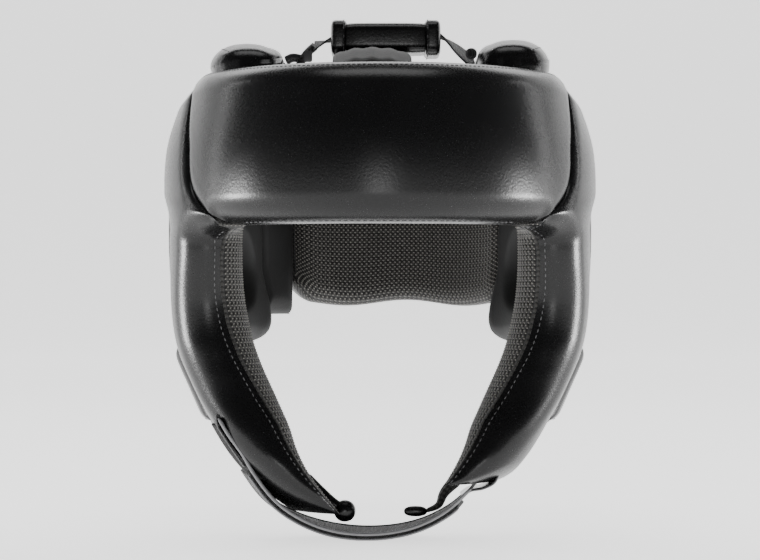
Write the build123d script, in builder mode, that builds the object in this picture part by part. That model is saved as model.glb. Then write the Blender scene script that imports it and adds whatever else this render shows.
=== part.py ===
from build123d import *
import os
from math import acos, asin, cos, pi, sin, sqrt

# Open-face boxing headgear, laced at the crown, closed at the back and under the chin.
# Millimetres. -Y is the front, +X the right of somebody facing the wearer, +Z up. The
# origin is the middle of the head cavity, level with the forehead pad's lower edge.

# ---------------------------------------------------------------- driving sizes
head_half_width = 78.0      # head cavity, middle to temple
head_half_depth = 98.0      # head cavity, middle to brow
pad_side = 32.0             # padding over the temples
pad_front = 30.0            # padding over the brow
rear_pad = 24.0             # padding at the back of the head
band_top = 76.0             # top of the forehead band above the brow edge
chin_drop = 158.0           # brow edge down to the inside of the chin strap
skin = 1.2                  # leather
lining = 2.0                # mesh lining
ply_gap = 0.15              # between the plies of one pad
seam_gap = 0.6              # between two pads sewn side by side
touch = 0.3                 # between pieces that only lie on each other

# ---------------------------------------------------------------- panels
opening_half_width = 70.0   # face opening at the cheekbones
rim_flare = 12.0            # how much wider the opening is in front than inside
seam_half_width = 99.0      # seam between forehead pad and side panel
ear_line = 14.0             # underside of the side panel above the ear
ear_front = -14.0           # rear edge of the cheek arm
ear_rear = 60.0             # rear edge of the side panel and ear pad
ear_bottom = -62.0          # lower edge of the ear pad
ear_hole_radius = 16.0
ear_hole_y = 22.0
ear_hole_z = -22.0
ear_bulge = 2.0             # how far the ear pad stands out past the cheek
gusset_thickness = 8.0
gusset_rear = 24.0          # rear edge of the jaw gusset

# ---------------------------------------------------------------- rear closure
rear_top = 50.0             # top of the rear flap and wing
flap_bottom = -42.0
flap_edge_x = -51.0         # free edge of the rear flap
wing_bottom = -48.0
flap_gap = 2.0              # between the side panel and the rear flap
hinge_height = 56.0
welt_radius = 0.6
rear_strap_width = 40.0
rear_strap_z = 10.0         # middle height of the rear strap
rear_strap_end = -84.0      # outer end of the strap on the wing
rear_base_end = 10.0        # sewn end of the strap on the flap
patch = 1.4                 # thickness of hook and loop patches
webbing = 1.6               # thickness of webbing

# ---------------------------------------------------------------- crown
crown_pad_height = 19.0
crown_pad_half_length = 58.0
crown_pad_inner = 51.0      # inner edge of each crown pad from the middle
bolster_length = 58.0
bolster_width = 34.0
bolster_height = 16.5
bolster_middle = 3.0        # the roll sits a little to the right
bolster_z = 98.5
band_width = 9.0            # end bands of the roll
band_proud = 1.0
cover = 1.2                 # cloth round the roll
roll_travel = 6.0           # how far the roll slides along its webbing, each way
web_width = 24.0
lace = 3.6
lace_spread = 9.0           # each leg of the lace from the middle
tongue_half_width = 20.0
tongue_thickness = 4.0

# ---------------------------------------------------------------- chin
strap_width = 36.0
strap_front = -62.0         # front edge of the chin strap
tip_radius = 5.6
loop_tab = 2.0

half_width = head_half_width + pad_side


def height(share):
    """Height of a point below the brow edge, as a share of the chin drop."""
    return -share * chin_drop


# ---------------------------------------------------------------- head form
form_profile = [
    (band_top, 7.0),
    (0.5 * band_top, 0.5),
    (0.0, 0.0),
    (height(0.16), 1.0),
    (height(0.38), 7.0),
    (height(0.63), 20.0),
    (height(0.78), 22.0),
    (height(0.86), 26.0),
    (height(0.95), 36.0),
]
thinning_profile = [        # the padding thins out towards the chin
    (height(0.50), 1.0),
    (height(0.63), 0.95),
    (height(0.78), 0.75),
    (height(0.95), 0.50),
]


def along(profile, z):
    """Value of a list of (height, value) points at height z, highest point first."""
    for (top, first), (bottom, second) in zip(profile, profile[1:]):
        if z >= bottom or bottom == profile[-1][0]:
            return first + (second - first) * (z - top) / (bottom - top)


def thinning(z):
    """Share of the full padding that is left at height z."""
    return 1.0 if z > thinning_profile[0][0] else along(thinning_profile, z)


def radius(z, layer):
    """Half width of the head form at height z, moved outwards by layer."""
    return head_half_width + layer * thinning(z) - along(form_profile, z)


def depth_ratio(layer):
    """Depth over width of the head form moved outwards by layer."""
    return (head_half_depth + layer * pad_front / pad_side) / (head_half_width + layer)


def spot(turn, z, layer):
    """Point on the head form, turn in radians from the front towards +X."""
    width = radius(z, layer)
    return (width * sin(turn), -width * depth_ratio(layer) * cos(turn))


def turn_at_x(x, z, layer):
    """Turn of the point in front of the ears at x from the middle."""
    return asin(max(-0.98, min(0.98, x / radius(z, layer))))


def turn_at_y(y, z, layer):
    """Turn of the point on the +X side at depth y."""
    return acos(max(-0.98, min(0.98, -y / (radius(z, layer) * depth_ratio(layer)))))


def ply(levels, edges, inner, outer, inset=0.0, side=1):
    """Padded layer between two layers of the head form.

    levels are heights from the top down, and edges(z, layer) gives the first and last
    turn. side of -1 makes the same piece on the other half.
    """
    top, bottom = levels[0] - inset, levels[-1] + inset
    bends = levels[1:-1] + [z for z, _ in form_profile + thinning_profile]
    heights = sorted({z for z in bends if bottom + 0.4 < z < top - 0.4}, reverse=True)
    heights = [top] + heights + [bottom]
    with BuildPart() as part:
        for z in heights:
            with BuildSketch(Plane.XY.offset(z)):
                with BuildLine():
                    rows = []
                    for layer in (outer, inner):
                        first, last = edges(z, layer)
                        back = inset / radius(z, layer)
                        turns = [
                            first + back + (last - first - 2 * back) * step / 6
                            for step in range(7)
                        ]
                        row = [spot(turn, z, layer) for turn in turns]
                        rows.append([(side * x, y) for x, y in row])
                    Spline(*rows[0])
                    Line(rows[0][-1], rows[1][-1])
                    Spline(*reversed(rows[1]))
                    Line(rows[1][0], rows[0][0])
                make_face()
        loft(ruled=True)
    return part.part


# ---------------------------------------------------------------- edges of the pads
seam_profile = [
    (band_top, seam_half_width - 2),
    (0.55 * band_top, seam_half_width),
    (0.16 * band_top, seam_half_width - 6),
    (0.0, seam_half_width - 14),
    (height(0.02), seam_half_width - 22),
]
rim_profile = [
    (0.0, opening_half_width + 7),
    (height(0.08), opening_half_width),
    (height(0.29), opening_half_width - 1),
    (height(0.39), opening_half_width - 4),
    (height(0.52), opening_half_width - 14),
    (height(0.65), opening_half_width - 22),
    (height(0.77), opening_half_width - 29),
    (height(0.86), opening_half_width - 38),
    (height(0.94), opening_half_width - 48),
]
arm_rear_profile = [
    (ear_line, ear_front),
    (height(0.38), ear_front),
    (height(0.52), ear_front - 7),
    (height(0.70), ear_front - 16),
    (height(0.94), ear_front - 26),
]
panel_levels = [band_top, 0.55 * band_top, ear_line]
arm_levels = [
    ear_line,
    0.16 * band_top,
    0.0,
    -seam_gap,
    height(0.08),
    height(0.29),
    height(0.39),
    height(0.52),
    height(0.65),
    height(0.77),
    height(0.84),
]
left_tip = height(0.935)     # the left arm runs on under the chin


def forehead_edges(z, layer):
    """First and last turn of the forehead pad."""
    turn = turn_at_x(along(seam_profile, z) - seam_gap / 2, z, layer)
    return -turn, turn


def panel_edges(z, layer):
    """First and last turn of the side panel above the ear."""
    front = turn_at_x(along(seam_profile, z) + seam_gap / 2, z, layer)
    return front, turn_at_y(ear_rear, z, layer)


def arm_edges(z, layer):
    """First and last turn of the cheek arm."""
    if z >= 0:
        front = turn_at_x(along(seam_profile, z) + seam_gap / 2, z, layer)
    else:
        flare = rim_flare * layer / pad_side
        front = turn_at_x(along(rim_profile, z) + flare, z, layer)
    return front, turn_at_y(along(arm_rear_profile, z), z, layer)


def ear_edges(z, layer):
    """First and last turn of the ear pad."""
    return (
        turn_at_y(ear_front + seam_gap, z, layer),
        turn_at_y(ear_rear - seam_gap, z, layer),
    )


def gusset_edges(z, layer):
    """First and last turn of the jaw gusset."""
    lift = (ear_bottom - z) / (ear_bottom - height(0.66))
    return (
        turn_at_y(along(arm_rear_profile, z) + seam_gap, z, layer),
        turn_at_y(gusset_rear - 30 * lift, z, layer),
    )


def flap_edges(z, layer):
    """First and last turn of the rear flap."""
    free = pi + asin(-flap_edge_x / radius(z, layer))
    return turn_at_y(ear_rear + flap_gap, z, layer), free


def wing_edges(z, layer):
    """First and last turn of the left rear wing, on the +X side before it is turned over."""
    edge = pi - asin((seam_gap - flap_edge_x) / radius(z, layer))
    return turn_at_y(ear_rear + seam_gap, z, layer), edge


pieces = {}


def add_pad(name, levels, edges, thickness, side=1, hole=None):
    """Lining, foam and leather skin of one pad."""
    foam_in = lining + ply_gap
    foam_out = thickness - skin - ply_gap
    for ply_name, inner, outer, inset in (
        ("lining", 0.0, lining, 0.0),
        ("foam", foam_in, foam_out, ply_gap),
        ("skin", thickness - skin, thickness, 0.0),
    ):
        with BuildPart() as pad:
            add(ply(levels, edges, inner, outer, inset, side))
            if hole:
                with BuildSketch(Plane.YZ):
                    with Locations((ear_hole_y, ear_hole_z)):
                        Circle(hole + inset)
                extrude(amount=side * 2 * half_width, mode=Mode.SUBTRACT)
        pieces[f"{name}_{ply_name}"] = pad.part


# ---------------------------------------------------------------- padded pieces
add_pad("forehead", [band_top, 0.55 * band_top, 0.16 * band_top, 0.0], forehead_edges, pad_side)
for side_name, side in (("left", -1), ("right", 1)):
    add_pad(f"side_panel_{side_name}", panel_levels, panel_edges, pad_side, side)
    low = left_tip if side < 0 else height(0.84)
    levels = [ear_line - seam_gap] + arm_levels[1:-1] + ([height(0.86)] if side < 0 else []) + [low]
    add_pad(f"cheek_arm_{side_name}", levels, arm_edges, pad_side, side)
    add_pad(
        f"ear_pad_{side_name}",
        [ear_line - seam_gap, height(0.16), ear_bottom],
        ear_edges,
        pad_side + ear_bulge,
        side,
        ear_hole_radius,
    )
    gusset_out = pad_side + ear_bulge
    pieces[f"jaw_gusset_{side_name}"] = ply(
        [ear_bottom - seam_gap, height(0.52), height(0.65)],
        gusset_edges,
        gusset_out - gusset_thickness,
        gusset_out,
        0.0,
        side,
    )
add_pad("rear_flap", [rear_top, 0.0, flap_bottom], flap_edges, rear_pad)
add_pad("rear_wing", [rear_top, 0.0, wing_bottom], wing_edges, rear_pad, -1)


# ---------------------------------------------------------------- rear strap
strap_levels = [
    rear_strap_z + rear_strap_width / 2,
    rear_strap_z,
    rear_strap_z - rear_strap_width / 2,
]


def back_edges(first_x, last_x):
    """Edges of a strap piece across the back, from first_x to last_x."""
    def edges(z, layer):
        wide = radius(z, layer)
        return pi - asin(first_x / wide), pi - asin(last_x / wide)
    return edges


loop_in = rear_pad + touch
hook_in = loop_in + patch + touch
tip_in = hook_in + patch + ply_gap
wing_patch_edges = back_edges(flap_edge_x - 4, rear_strap_end)
pieces["rear_loop_patch"] = ply(strap_levels, wing_patch_edges, loop_in, loop_in + patch)
pieces["rear_strap_hook"] = ply(
    strap_levels, back_edges(flap_edge_x - 6, rear_strap_end + 4), hook_in, hook_in + patch, 1.0
)
pieces["rear_strap_tip"] = ply(
    strap_levels, back_edges(flap_edge_x - touch, rear_strap_end), tip_in, tip_in + webbing
)
pieces["rear_strap_base"] = ply(
    strap_levels, back_edges(rear_base_end, flap_edge_x + 2), loop_in, tip_in + webbing
)

hinge_x, _ = spot(turn_at_y(ear_rear + flap_gap, 0, rear_pad), 0, rear_pad)
with BuildPart() as rear_hinge_welt:
    with BuildSketch(Plane.XY.offset(rear_strap_z - hinge_height / 2)):
        with Locations((hinge_x - 1, ear_rear + flap_gap / 2)):
            Circle(welt_radius)
    extrude(amount=hinge_height)
pieces["rear_hinge_welt"] = rear_hinge_welt.part

# ---------------------------------------------------------------- crown
crown_seat = band_top + seam_gap
for side_name, side in (("left", -1), ("right", 1)):
    inner = crown_pad_inner

    def crown_block(inset):
        """Crown pad drawn in by inset."""
        outer = half_width - 15 - inset
        with BuildPart() as block:
            with BuildSketch(Plane.XZ):
                with BuildLine():
                    roof = Spline(
                        (side * outer, crown_seat + inset + 4),
                        (side * (outer - 6), crown_seat + 0.7 * crown_pad_height - inset),
                        (side * (outer - 24), crown_seat + crown_pad_height - inset),
                        (side * (inner + inset), crown_seat + 0.62 * crown_pad_height),
                    )
                    Polyline(
                        roof @ 1,
                        (side * (inner + inset), crown_seat + 5 + inset),
                        (side * (inner + 15), crown_seat + inset),
                        (side * outer, crown_seat + inset),
                        roof @ 0,
                    )
                make_face()
            extrude(amount=crown_pad_half_length - inset, both=True)
        return block.part

    with BuildPart() as leather:
        add(crown_block(0.0))
        add(crown_block(skin), mode=Mode.SUBTRACT)
    pieces[f"crown_pad_{side_name}_skin"] = leather.part
    pieces[f"crown_pad_{side_name}_foam"] = crown_block(skin + ply_gap)

roll_room = touch + webbing / 2
roll_start = bolster_middle - bolster_length / 2
roll_end = bolster_middle + bolster_length / 2
with BuildPart() as crown_bolster_foam:
    with BuildSketch(Plane.YZ.offset(roll_start + 1)):
        with Locations((0, bolster_z)):
            RectangleRounded(bolster_width - 2 * cover, bolster_height - 2 * cover, 5)
            Rectangle(web_width + 2 * touch, 2 * roll_room, mode=Mode.SUBTRACT)
    extrude(amount=bolster_length - 2)
pieces["crown_bolster_foam"] = crown_bolster_foam.part
with BuildPart() as crown_bolster_cover:
    with BuildSketch(Plane.YZ.offset(roll_start + 1)):
        with Locations((0, bolster_z)):
            RectangleRounded(bolster_width, bolster_height, 6)
            RectangleRounded(
                bolster_width - 2 * cover + ply_gap,
                bolster_height - 2 * cover + ply_gap,
                5,
                mode=Mode.SUBTRACT,
            )
    extrude(amount=bolster_length - 2)
pieces["crown_bolster_cover"] = crown_bolster_cover.part
for side_name, start in (("left", roll_start), ("right", roll_end - band_width)):
    with BuildPart() as band:
        with BuildSketch(Plane.YZ.offset(start)):
            with Locations((0, bolster_z)):
                RectangleRounded(
                    bolster_width + 2 * (band_proud + touch),
                    bolster_height + 2 * (band_proud + touch),
                    7,
                )
                RectangleRounded(
                    bolster_width + 2 * ply_gap, bolster_height + 2 * ply_gap, 6, mode=Mode.SUBTRACT
                )
        extrude(amount=band_width)
    pieces[f"crown_bolster_band_{side_name}"] = band.part

web_left = roll_start - roll_travel - 3
web_right = roll_end + roll_travel + 2
web_drop = crown_seat + 0.62 * crown_pad_height
with BuildPart() as crown_web:
    with BuildSketch(Plane.XZ):
        with BuildLine() as route:
            Polyline(
                (web_left, bolster_z),
                (web_right, bolster_z),
                (crown_pad_inner - touch - webbing / 2, web_drop),
                (crown_pad_inner - touch - webbing / 2, web_drop - 5),
            )
        trace(route.line, line_width=webbing)
    extrude(amount=web_width / 2, both=True)
pieces["crown_web"] = crown_web.part

lace_start = (-crown_pad_inner + touch + 0.6, web_drop - 1.5)
with BuildPart() as crown_lace:
    for leg in (-1, 1):
        with BuildSketch(Plane.XZ.offset(leg * lace_spread - lace / 2)):
            with BuildLine() as leg_line:
                Line(lace_start, (web_left - touch - lace / 4, bolster_z))
            trace(leg_line.line, line_width=lace / 2)
        extrude(amount=lace)
    with BuildSketch(Plane.XZ.offset(-lace_spread - lace / 2)):
        with Locations((web_left - touch - lace / 4, bolster_z)):
            Rectangle(lace / 2, lace / 2 + 0.4)
    extrude(amount=2 * lace_spread + lace)
pieces["crown_lace"] = crown_lace.part

with BuildPart() as crown_eyelets:
    with BuildSketch(Plane.YZ.offset(-crown_pad_inner + touch - 0.1)):
        with Locations((-lace_spread, web_drop - 5.5), (lace_spread, web_drop - 5.5)):
            Circle(2.6)
            Circle(1.4, mode=Mode.SUBTRACT)
    extrude(amount=0.8)
pieces["crown_eyelets"] = crown_eyelets.part

tongue_front_y = -0.82 * head_half_depth
with BuildPart() as crown_tongue:
    with BuildSketch(Plane.YZ.offset(-tongue_half_width - 4)):
        with BuildLine() as arch:
            Spline(
                (tongue_front_y, crown_seat + tongue_thickness / 2 + 0.4),
                (0.66 * tongue_front_y, bolster_z - 14.5),
                (0.0, bolster_z - bolster_height / 2 - 4),
            )
        trace(arch.line, line_width=tongue_thickness)
    extrude(amount=2 * tongue_half_width)
pieces["crown_tongue"] = crown_tongue.part

# ---------------------------------------------------------------- chin strap
strap_rear = strap_front + strap_width


def beside_arm(z, layer):
    """Half width of the head form at the chin strap's rear edge."""
    _, depth = spot(0, z, layer)
    return radius(z, layer) * sqrt(1 - min(0.9, (strap_rear / depth) ** 2))


strap_layer = pad_side + 2 * touch + 2 * patch + webbing / 2
strap_points = [
    (-beside_arm(height(0.635), strap_layer), height(0.635)),
    (-beside_arm(height(0.76), strap_layer), height(0.76)),
    (-beside_arm(height(0.86), strap_layer), height(0.87)),
    (-0.38 * half_width, height(0.965)),
    (-0.19 * half_width, height(0.995)),
    (0.05 * half_width, height(1.0)),
    (0.20 * half_width, height(0.975)),
    (0.33 * half_width, height(0.92)),
    (0.42 * half_width, height(0.875)),
]


def beside(line, first, last, away):
    """Points along a stretch of line, moved away from the face."""
    points = []
    for step in range(9):
        share = first + (last - first) * step / 8
        spot_on_line = line @ share
        heading = line % share
        points.append((spot_on_line.X + away * heading.Y, spot_on_line.Y - away * heading.X))
    return points


def strap_layer_piece(first, last, away, thickness, side_room):
    """Band along the chin strap's line, away from its middle, narrower by side_room."""
    with BuildPart() as band:
        with BuildSketch(Plane.XZ.offset(-strap_rear + side_room)):
            with BuildLine():
                whole = Spline(*strap_points, mode=Mode.PRIVATE)
                low = Spline(*beside(whole, first, last, away - thickness / 2))
                high = Spline(*beside(whole, first, last, away + thickness / 2))
                Line(low @ 0, high @ 0)
                Line(low @ 1, high @ 1)
            make_face()
        extrude(amount=strap_width - 2 * side_room)
    return band.part


outer_ply = webbing / 2 + 2 * touch + patch / 2
pieces["chin_strap_web"] = strap_layer_piece(0.0, 1.0, 0.0, webbing, 0.0)
pieces["chin_strap_pile"] = strap_layer_piece(0.26, 0.93, outer_ply, patch, 1.0)
pieces["chin_strap_pull"] = strap_layer_piece(0.0, 0.24, outer_ply, patch, 2.0)


def patch_edges(z, layer):
    """Edges of the hook patch on the left arm."""
    return turn_at_y(strap_front + 6, z, layer), turn_at_y(strap_rear - 8, z, layer)


pieces["chin_hook_patch"] = ply(
    [height(0.65), height(0.77), height(0.84)],
    patch_edges,
    pad_side + touch,
    pad_side + touch + patch,
    0.0,
    -1,
)

strap_end_x, strap_end_z = strap_points[-1]
tab_z = height(0.84) - touch - loop_tab / 2
with BuildPart() as chin_loop_tab:
    with BuildSketch(Plane.XZ.offset(-strap_rear - 4)):
        with BuildLine() as tab_line:
            Line((strap_end_x + 2.4, strap_end_z), (strap_end_x + 3, tab_z))
            Line((strap_end_x + 3, tab_z), (0.58 * half_width, tab_z))
        trace(tab_line.line, line_width=loop_tab)
    extrude(amount=strap_width - 12)
pieces["chin_loop_tab"] = chin_loop_tab.part

tip_turn, _ = arm_edges(left_tip, pad_side / 2)
tip_x, tip_y = spot(tip_turn, left_tip, pad_side / 2)
with BuildPart() as chin_tip_left:
    with Locations((-tip_x + tip_radius + 5.0, tip_y + 4, left_tip + 0.5)):
        Sphere(tip_radius)
pieces["chin_tip_left"] = chin_tip_left.part

low_turn, _ = arm_edges(height(0.84), 1)
low_x, _ = spot(low_turn, height(0.84), 1)
with BuildPart() as chin_tip_right:
    with BuildSketch(Plane.XZ.offset(44)):
        with BuildLine():
            Polyline(
                (low_x + 6, height(0.84) - touch),
                (low_x - 3, height(0.84) - touch),
                (0.24 * half_width, height(0.915)),
                (0.12 * half_width, height(0.93)),
                (0.12 * half_width, height(0.95)),
                (0.26 * half_width, height(0.94)),
                close=True,
            )
        make_face()
    extrude(amount=6)
pieces["chin_tip_right"] = chin_tip_right.part

os.makedirs("parts", exist_ok=True)
for piece_name, piece in pieces.items():
    piece.label = piece_name
    export_step(piece, f"parts/{piece_name}.step")
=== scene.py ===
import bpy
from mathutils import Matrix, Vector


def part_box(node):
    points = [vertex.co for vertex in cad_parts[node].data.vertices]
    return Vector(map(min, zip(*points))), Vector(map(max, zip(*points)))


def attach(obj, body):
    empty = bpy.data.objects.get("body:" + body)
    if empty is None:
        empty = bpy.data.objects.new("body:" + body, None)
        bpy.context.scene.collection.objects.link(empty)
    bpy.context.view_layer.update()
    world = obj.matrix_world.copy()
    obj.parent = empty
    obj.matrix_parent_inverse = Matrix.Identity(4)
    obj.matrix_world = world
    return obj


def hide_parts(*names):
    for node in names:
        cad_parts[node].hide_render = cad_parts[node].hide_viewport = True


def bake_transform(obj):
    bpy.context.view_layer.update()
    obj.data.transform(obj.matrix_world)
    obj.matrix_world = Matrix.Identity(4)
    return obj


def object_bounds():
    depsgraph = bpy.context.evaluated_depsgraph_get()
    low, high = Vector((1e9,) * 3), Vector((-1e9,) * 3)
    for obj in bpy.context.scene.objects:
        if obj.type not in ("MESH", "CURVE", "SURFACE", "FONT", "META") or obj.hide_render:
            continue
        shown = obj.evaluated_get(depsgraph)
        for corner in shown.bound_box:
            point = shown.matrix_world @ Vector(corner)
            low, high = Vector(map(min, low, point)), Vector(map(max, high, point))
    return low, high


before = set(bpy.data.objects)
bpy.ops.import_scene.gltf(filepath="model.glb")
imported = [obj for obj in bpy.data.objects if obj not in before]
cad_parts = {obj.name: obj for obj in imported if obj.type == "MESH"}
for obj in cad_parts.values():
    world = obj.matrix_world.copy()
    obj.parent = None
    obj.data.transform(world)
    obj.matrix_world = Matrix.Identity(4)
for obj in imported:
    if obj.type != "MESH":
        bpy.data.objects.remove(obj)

"""Open-face boxing headgear: stitched leather pads, mesh lining, straps and lacing.

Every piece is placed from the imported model's boxes. Lengths in the classes are in
millimetres until a mesh is made. -Y is the front, +X the viewer's right, +Z up.
"""
import logging
import math
from dataclasses import dataclass, field
from enum import Enum
from typing import Callable, Optional, Sequence

import bmesh
import bpy
import numpy as np
from mathutils import Vector

LOG = logging.getLogger("headgear")
MM = 0.001
LINING_PLY = 2.0
WEB_HALF = 0.8
MID_LAYER = 16.0          # layer on which pads are laid out flat
UNROLL = 1.08             # mean of a pad's arc over its half width times its turn
CAD_BOX = [list(corner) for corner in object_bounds()]
Array = np.ndarray
Profile = Sequence[tuple[float, float]]


# ---------------------------------------------------------------- shader maths
class Node:
    """Node tree helper: one method makes any node."""

    def __init__(self, tree: bpy.types.NodeTree) -> None:
        """Keep the tree that nodes are added to."""
        self.tree = tree

    def add(self, kind: str, settings: Optional[dict] = None, **sockets: object) -> bpy.types.Node:
        """Make one node.

        Args:
            kind: The node's type name.
            settings: Properties set before any socket.
            sockets: Values or links; "Base_Color" is the socket "Base Color", "i0" is
                the first socket.

        Returns:
            The new node.
        """
        node = self.tree.nodes.new(kind)
        for name, value in (settings or {}).items():
            setattr(node, name, value)
        for name, value in sockets.items():
            index = int(name[1:]) if name[0] == "i" and name[1:].isdigit() else None
            socket = node.inputs[index if index is not None else name.replace("_", " ")]
            if isinstance(value, Num):
                value = value.socket
            if isinstance(value, bpy.types.NodeSocket):
                self.tree.links.new(value, socket)
            else:
                socket.default_value = value
        return node


class Num:
    """Number socket that takes part in Python arithmetic."""

    def __init__(self, nodes: Node, socket: bpy.types.NodeSocket) -> None:
        """Wrap a socket."""
        self.nodes = nodes
        self.socket = socket

    def _math(self, operation: str, *values: object) -> "Num":
        """Add one Math node.

        Args:
            operation: The Math node's operation.
            *values: Numbers or sockets.

        Returns:
            The node's value.
        """
        sockets = {f"i{place}": value for place, value in enumerate(values)}
        node = self.nodes.add("ShaderNodeMath", {"operation": operation}, **sockets)
        return Num(self.nodes, node.outputs[0])

    def __add__(self, other: object) -> "Num":
        """Sum."""
        return self._math("ADD", self, other)

    def __radd__(self, other: object) -> "Num":
        """Sum with a plain number first."""
        return self._math("ADD", other, self)

    def __sub__(self, other: object) -> "Num":
        """Difference."""
        return self._math("SUBTRACT", self, other)

    def __rsub__(self, other: object) -> "Num":
        """Difference with a plain number first."""
        return self._math("SUBTRACT", other, self)

    def __mul__(self, other: object) -> "Num":
        """Product."""
        return self._math("MULTIPLY", self, other)

    def __rmul__(self, other: object) -> "Num":
        """Product with a plain number first."""
        return self._math("MULTIPLY", other, self)

    def sine(self) -> "Num":
        """Sine."""
        return self._math("SINE", self)

    def wave(self) -> "Num":
        """Sine brought into the range 0 to 1."""
        return self.sine() * 0.5 + 0.5

    def above(self, level: float, soft: float) -> "Num":
        """Soft step from 0 to 1 at level."""
        node = self.nodes.add(
            "ShaderNodeMapRange", {"interpolation_type": "SMOOTHSTEP"},
            i0=self, i1=level - soft, i2=level + soft, i3=0.0, i4=1.0,
        )
        return Num(self.nodes, node.outputs[0])


class Weave(Enum):
    """Surface patterns of the cloth finishes."""

    LEATHER = "leather"
    MESH = "mesh"
    RIBBED = "ribbed"
    PILE = "pile"
    BRAID = "braid"
    SMOOTH = "smooth"


@dataclass(frozen=True)
class Finish:
    """One material: colour, gloss and surface pattern."""

    name: str
    weave: Weave
    color: tuple[float, float, float]
    light: tuple[float, float, float]
    roughness: float
    coat: float = 0.0
    sheen: float = 0.0
    metallic: float = 0.0
    bump: float = 0.3
    pitch: float = 2.7

    def build(self) -> bpy.types.Material:
        """Make the material.

        Returns:
            A node material that reads only Object coordinates or the piece's UV map.
        """
        material = bpy.data.materials.new(self.name)
        material.use_nodes = True
        tree = material.node_tree
        tree.nodes.clear()
        nodes = Node(tree)
        place = nodes.add("ShaderNodeTexCoord")
        pattern = {
            Weave.LEATHER: self._leather,
            Weave.MESH: self._mesh,
            Weave.RIBBED: self._ribbed,
            Weave.PILE: self._pile,
            Weave.BRAID: self._braid,
            Weave.SMOOTH: self._smooth,
        }[self.weave]
        height, mask, gloss = pattern(nodes, place.outputs["Object"], place.outputs["UV"])
        tone = nodes.add(
            "ShaderNodeMix", {"data_type": "RGBA"},
            i0=mask, i6=(*self.color, 1.0), i7=(*self.light, 1.0),
        )
        relief = nodes.add("ShaderNodeBump", i0=self.bump, i1=MM, Height=height)
        shader = nodes.add(
            "ShaderNodeBsdfPrincipled",
            Base_Color=tone.outputs[2],
            Roughness=gloss,
            Metallic=self.metallic,
            Coat_Weight=self.coat,
            Coat_Roughness=0.22,
            Specular_IOR_Level=0.32,
            Sheen_Weight=self.sheen,
            Normal=relief.outputs[0],
        )
        nodes.add("ShaderNodeOutputMaterial", Surface=shader.outputs[0])
        return material

    def _noise(self, nodes: Node, where: object, scale: float, detail: float = 3.0) -> Num:
        """Noise value of a given scale."""
        node = nodes.add("ShaderNodeTexNoise", Vector=where, Scale=scale, Detail=detail)
        return Num(nodes, node.outputs[0])

    def _leather(self, nodes: Node, where: object, _uv: object) -> tuple[Num, Num, Num]:
        """Fine pebbled grain with slow changes of gloss.

        Args:
            nodes: Tree to build in.
            where: Object coordinates.
            _uv: The piece's UV map.

        Returns:
            Height, colour mask and roughness.
        """
        cells = nodes.add(
            "ShaderNodeTexVoronoi", {"feature": "SMOOTH_F1"}, Vector=where, Scale=900.0
        )
        grain = Num(nodes, cells.outputs[0])
        fine = self._noise(nodes, where, 2600.0)
        slow = self._noise(nodes, where, 26.0, 4.0)
        height = grain * 0.55 + fine * 0.25 + slow * 0.2
        mask = (slow - 0.35) * 0.7 + fine * 0.15
        gloss = self.roughness + (slow - 0.5) * 0.10 + (grain - 0.4) * 0.05
        return height, mask, gloss

    def _cells(self, nodes: Node, uv: object) -> tuple[Num, Num]:
        """UV in units of the pattern's pitch.

        Args:
            nodes: Tree to build in.
            uv: The piece's UV map.

        Returns:
            Across and along.
        """
        split = nodes.add("ShaderNodeSeparateXYZ", i0=uv)
        scale = 2 * math.pi / (self.pitch * MM)
        return Num(nodes, split.outputs[0]) * scale, Num(nodes, split.outputs[1]) * scale

    def _mesh(self, nodes: Node, where: object, uv: object) -> tuple[Num, Num, Num]:
        """Open mesh: staggered holes between knitted knots.

        Args:
            nodes: Tree to build in.
            where: Object coordinates.
            uv: The piece's UV map.

        Returns:
            Height, colour mask and roughness.
        """
        across, along = self._cells(nodes, uv)
        lattice = (across * 0.5 + along * 0.5).sine() * (across * 0.5 - along * 0.5).sine()
        knots = (lattice * -1.0).above(0.25, 0.45)
        holes = lattice.above(0.45, 0.30)
        yarn = self._noise(nodes, where, 3000.0)
        height = knots * 0.8 - holes + yarn * 0.2
        mask = knots * (yarn * 0.6 + 0.35)
        return height, mask, self.roughness + yarn * 0.15 - knots * 0.15

    def _ribbed(self, nodes: Node, where: object, uv: object) -> tuple[Num, Num, Num]:
        """Webbing: ribs across with fine warp yarns.

        Args:
            nodes: Tree to build in.
            where: Object coordinates.
            uv: The piece's UV map.

        Returns:
            Height, colour mask and roughness.
        """
        across, along = self._cells(nodes, uv)
        ribs = along.wave()
        warp = (across * 2.2).wave()
        yarn = self._noise(nodes, where, 2400.0)
        height = ribs * 0.7 + warp * 0.35 + yarn * 0.15
        return height, ribs * 0.6 + yarn * 0.3, self.roughness + yarn * 0.12

    def _pile(self, nodes: Node, where: object, _uv: object) -> tuple[Num, Num, Num]:
        """Loop pile: dense curly fibres.

        Args:
            nodes: Tree to build in.
            where: Object coordinates.
            _uv: The piece's UV map.

        Returns:
            Height, colour mask and roughness.
        """
        fibre = nodes.add(
            "ShaderNodeTexVoronoi", {"feature": "F1"}, Vector=where, Scale=1500.0
        )
        tuft = Num(nodes, fibre.outputs[0])
        yarn = self._noise(nodes, where, 1900.0)
        return tuft * 0.9 + yarn * 0.6, tuft * 0.6 + yarn * 0.3, self.roughness + yarn * 0.1

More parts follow.
